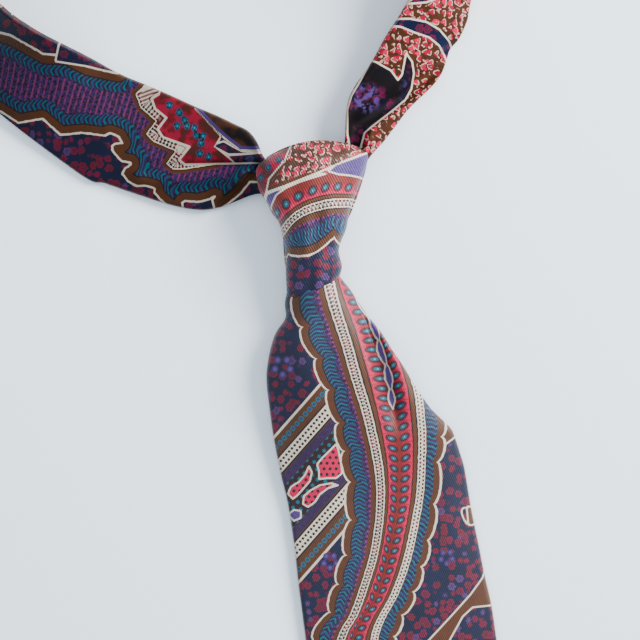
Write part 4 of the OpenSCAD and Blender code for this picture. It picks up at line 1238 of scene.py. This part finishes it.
def threads(name, runs, r, mat, sides=8):
    """Short lengths of thread, each a round-ended tube through its points."""
    V, F = [], []
    for pts in runs:
        p = spline(pts, 9) if len(pts) > 2 else np.linspace(pts[0], pts[1], 7)
        base = len(V)
        m = len(p)
        for i in range(m):
            t = p[min(i + 1, m - 1)] - p[max(i - 1, 0)]
            t = t / (np.linalg.norm(t) + 1e-9)
            up = np.array([0, 0, 1.0]) if abs(t[2]) < 0.9 else np.array([1.0, 0, 0])
            a = np.cross(t, up)
            a /= np.linalg.norm(a)
            b = np.cross(a, t)
            rr = r * (0.45 if i in (0, m - 1) else 1.0)
            for j in range(sides):
                w = 2 * math.pi * j / sides
                V.append(p[i] + rr * (math.cos(w) * a + math.sin(w) * b))
        for i in range(m - 1):
            for j in range(sides):
                k = (j + 1) % sides
                F.append([base + i * sides + j, base + i * sides + k, base + (i + 1) * sides + k, base + (i + 1) * sides + j])
        F.append([base + j for j in range(sides)][::-1])
        F.append([base + (m - 1) * sides + j for j in range(sides)])
    return make_mesh(name, np.array(V), F, mat)


# back wrap of the knot: a soft band across the back
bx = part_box("knot_back_wrap")
bxl, bxh = [c * 1000 for c in bx[0]], [c * 1000 for c in bx[1]]


def back_wrap():
    out = np.array([(-21, 24), (-20, 10), (-17, 2), (-17, -18), (0, -18), (4, -8), (13, 5), (21, 20), (21, 26), (10, 30), (-16, 29)], float)
    k = smooth_poly([tuple(p) for p in out], 140)
    k = k[8:-10]
    c = np.array([0.0, 8.0])
    rings = []
    for f, z in ((0.0, 0.35), (0.35, 0.25), (0.7, 0.2), (0.9, 0.3), (0.97, 0.75), (1.0, 1.5), (0.985, 2.2), (0.95, 2.6), (0.6, 2.7), (0.0, 2.7)):
        rr = c + (k - c) * max(f, 0.002)
        rings.append(np.c_[rr + [OX, OY], np.full(len(k), z)])
    R = np.array(rings)
    m, n = R.shape[:2]
    idx = np.arange(m * n).reshape(m, n)
    a, b = idx[:-1], idx[1:]
    quads = np.stack([a, b, np.roll(b, -1, 1), np.roll(a, -1, 1)], -1).reshape(-1, 4).tolist()
    V = R.reshape(-1, 3)
    ob = make_mesh("knot_back_cloth", V, quads, MAT_KNOT)
    dx, dy = to_draw(V[:, 0], V[:, 1])
    fr = knot_pattern(dx * 0.9 + 40, dy)
    fr["fold_edge_paling"] = np.zeros(len(V))
    fr["fig_over"] = np.ones(len(V))
    put_attributes(ob.data, fr, fr, np.zeros(len(ob.data.polygons), bool), len(V))
    return ob


knot_back = back_wrap()


def under_blade(x, y):
    """Height of the back of the wide blade."""
    x, y = np.asarray(x, float), np.asarray(y, float)
    xl = edge_x(BL, y.ravel(), -1.0).reshape(y.shape)
    xr = edge_x(BR, y.ravel(), 1.0).reshape(y.shape)
    return np.minimum(np.maximum(blade_heights(x, y, xl, xr, y) - 1.9, 2.75), blade_heights(x, y, xl, xr, y) - 1.7)


def lens(name, ys, wl, zfun, thick, mat, n=41):
    """A thin inset of cloth whose half-width changes along its length."""
    rings = []
    for y, w in zip(ys, wl):
        u = np.linspace(1, -1, n)
        x = OX + u * w
        z = zfun(x, np.full(n, y))
        r = np.sqrt(1 - (1 - np.clip((1 - np.abs(u)) * w / 0.8, 0, 1)) ** 2)
        ub = np.arange(1, n - 1)[::-1]
        rings.append(np.r_[np.c_[x, np.full(n, y), z + thick / 2 * r], np.c_[x[ub], np.full(n - 2, y), (z - thick / 2 * r)[ub]]])
    R = np.array(rings)
    m, k = R.shape[:2]
    idx = np.arange(m * k).reshape(m, k)
    a, b = idx[:-1], idx[1:]
    q = np.stack([a, np.roll(a, -1, 1), np.roll(b, -1, 1), b], -1).reshape(-1, 4).tolist()
    q.append(idx[0].tolist()[::-1])
    q.append(idx[-1].tolist())
    return make_mesh(name, R.reshape(-1, 3), q, mat)


flap = TIP_Y + 78
ty = np.r_[np.linspace(flap - 1, SHO_Y + 1, 26), np.linspace(SHO_Y, TIP_Y + 8, 34)]
tw = np.where(ty > SHO_Y + 1, 42.0 * (flap - ty) / (flap - SHO_Y - 1), 41.0 * np.clip((ty - TIP_Y - 6) / (SHO_Y - TIP_Y - 6), 0.02, 1))
tw = np.maximum(tw, 0.5)
tipping = lens("blade_tipping_cloth", ty, tw, lambda x, y: under_blade(x, y) - 0.12, 0.45, MAT_TIPPING)
tail_ty = np.r_[np.linspace(OY - 375, OY - 391, 14), np.linspace(OY - 392.5, OY - 409, 18)]
tail_tw = np.where(tail_ty > OY - 391.5, 17.0 * (OY - 374 - tail_ty) / 17.4, 16.8 * np.clip((tail_ty - OY + 411) / 19.0, 0.03, 1))
tail_tipping = lens("tail_tipping_cloth", tail_ty, np.maximum(tail_tw, 0.4), lambda x, y: np.full(np.shape(x), 0.24), 0.22, MAT_TIPPING, 25)
KY = FOLD_Y - 62


def keeper_z(x, y):
    u = (x - OX) / 30.0
    return under_blade(x, y) - 0.28 - 0.45 * np.sqrt(np.clip(1 - u ** 6, 0, 1))


keeper = slab_grid("keeper_cloth", OX - 30, OX + 30, KY, KY + 13, keeper_z, 0.5, MAT_BLADE, 81, 25, 0.5, blade_pattern, (60, 300))
label = slab_grid("care_label_cloth", OX - 9, OX + 9, KY - 34, KY - 18, lambda x, y: under_blade(x, y) - 0.30 + 0.10 * np.sin((x - OX) * 0.4), 0.28, MAT_LABEL, 41, 31, 0.35)
uz = lambda x, y: float(under_blade(np.array([x]), np.array([y]))[0])


def loop_run(x, y, half, z, lift=0.22, axis=0):
    """A stitch that dives in at both ends."""
    p = []
    for f, h in ((-1, 0.25), (-0.75, -lift * 0.6), (0, -lift), (0.75, -lift * 0.6), (1, 0.25)):
        p.append((x + f * half, y, z + h) if axis == 0 else (x, y + f * half, z + h))
    return p


keeper_st = threads("keeper_stitch_threads", [loop_run(OX + sx * 28, KY + 2 + i * 2.2, 1.5, float(keeper_z(np.array([OX + sx * 28.0]), np.array([KY + 2.0]))[0]) - 0.22, 0.12) for sx in (-1, 1) for i in range(5)], 0.16, MAT_THREAD)
label_st = threads("care_label_stitch_threads", [loop_run(OX - 6 + i * 4, KY - 19.5, 1.2, uz(OX - 6 + i * 4, KY - 19.5) - 0.42, 0.08) for i in range(4)], 0.11, MAT_LTHREAD)
tack = threads("blade_bar_tack_threads", [loop_run(OX, flap + 5 + i * 0.52, 4.5, uz(OX, flap + 5) - 0.02, 0.2) for i in range(4)], 0.22, MAT_THREAD)
tail_tack = threads("tail_bar_tack_threads", [[(OX - 3.6, OY - 371 + i * 0.5, 0.42), (OX, OY - 371 + i * 0.5, 0.22), (OX + 3.6, OY - 371 + i * 0.5, 0.42)] for i in range(4)], 0.17, MAT_THREAD)
slip_u = threads("blade_upper_slip_threads", [loop_run(OX, y, 3.5, uz(OX, y) + 0.02, 0.16, 1) for y in np.arange(OY - 108, FOLD_Y + 10, -18.0)], 0.2, MAT_THREAD)
slip_l = threads("blade_lower_slip_threads", [loop_run(OX, y, 3.5, uz(OX, y) + 0.02, 0.16, 1) for y in np.arange(FOLD_Y - 42, flap + 14, -18.0) if not (KY - 38 < y < KY + 18)], 0.2, MAT_THREAD)
slip_t = threads("tail_slip_threads", [[(OX, y + 3, 0.5), (OX, y, 0.28), (OX, y - 3, 0.5)] for y in np.arange(OY - 124, OY - 362, -27.0)], 0.18, MAT_THREAD)


def seam(name, rings, i):
    """The pressed join across the band: a fine raised line right round it."""
    r = rings[i]
    c = r.mean(0)
    t = rings[i + 1].mean(0) - rings[i - 1].mean(0)
    t /= np.linalg.norm(t)
    d = r - c
    d = d / np.maximum(np.linalg.norm(d, axis=1), 1e-6)[:, None]
    nrm = np.roll(r, -1, 0) - np.roll(r, 1, 0)
    nrm = np.cross(nrm, t)
    nrm = nrm / np.maximum(np.linalg.norm(nrm, axis=1), 1e-6)[:, None]
    if (nrm * d).sum() < 0:
        nrm = -nrm
    out = []
    for k in range(8):
        w = 2 * math.pi * k / 8
        out.append(r + nrm * (0.02 + 0.16 * math.cos(w)) + t * 0.34 * math.sin(w))
    R = np.array(out)
    m, n = R.shape[:2]
    R[:, :, 2] = np.maximum(R[:, :, 2], 0.12)
    idx = np.arange(m * n).reshape(m, n)
    a, b = idx, np.roll(idx, -1, 0)
    q = np.stack([a, np.roll(a, -1, 1), np.roll(b, -1, 1), b], -1).reshape(-1, 4).tolist()
    return make_mesh(name, R.reshape(-1, 3), q, MAT_NECK_PLAIN)


MAT_NECK_PLAIN = cloth_material("seam_silk", srgb(46, 36, 66), srgb(26, 24, 46), 12000.0, 0.5, 0.3, 0.3)
seam_l = seam("left_join_ridge", rn, 6)
seam_r = seam("right_join_ridge", rn, len(rn) - 8)
nb = 101 + 25
slip_n = threads("neck_slip_threads", [[rn[k + o, nb] + h for o, h in ((-3, 0.0), (0, 0.0), (3, 0.0))] for k in range(20, len(rn) - 20, 34)], 0.2, MAT_THREAD)

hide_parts("blade_upper_shell", "blade_upper_interlining")
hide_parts("blade_lower_shell", "blade_lower_interlining")
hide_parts("tail_neck_shell", "tail_neck_interlining", "tail_shell", "tail_interlining")
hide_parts("left_wing_root", "left_wing_fold", "left_wing_shell", "left_wing_interlining")
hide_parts("neck_band_shell", "neck_band_interlining")
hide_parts("right_wing_root", "right_wing_shell", "right_wing_interlining")
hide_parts("knot_front_wrap", "knot_front_interlining", "blade_throat", "knot_inner_wrap")
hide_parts("knot_back_wrap")
for ob, body, node in ((tipping, "blade_lower", "blade_tipping"), (tail_tipping, "tail", "tail_tipping"), (keeper, "blade_lower", "keeper_loop"), (label, "blade_lower", "care_label"),
                       (keeper_st, "blade_lower", "keeper_stitches"), (label_st, "blade_lower", "care_label_stitches"), (tack, "blade_lower", "blade_bar_tack"), (tail_tack, "tail", "tail_bar_tack"),
                       (slip_u, "blade_upper", "blade_upper_slip_stitch"), (slip_l, "blade_lower", "blade_lower_slip_stitch"), (slip_t, "tail", "tail_slip_stitch"),
                       (seam_l, "neck_loop", "left_join_seam"), (seam_r, "neck_loop", "right_join_seam"), (slip_n, "neck_loop", "neck_slip_stitch")):
    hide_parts(node)
    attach(ob, body)

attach(knot, "knot")
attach(knot_back, "knot")
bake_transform(blade_u)
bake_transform(blade_l)
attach(tail, "tail")
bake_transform(left_wing)
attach(nape, "neck_loop")
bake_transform(right_wing)
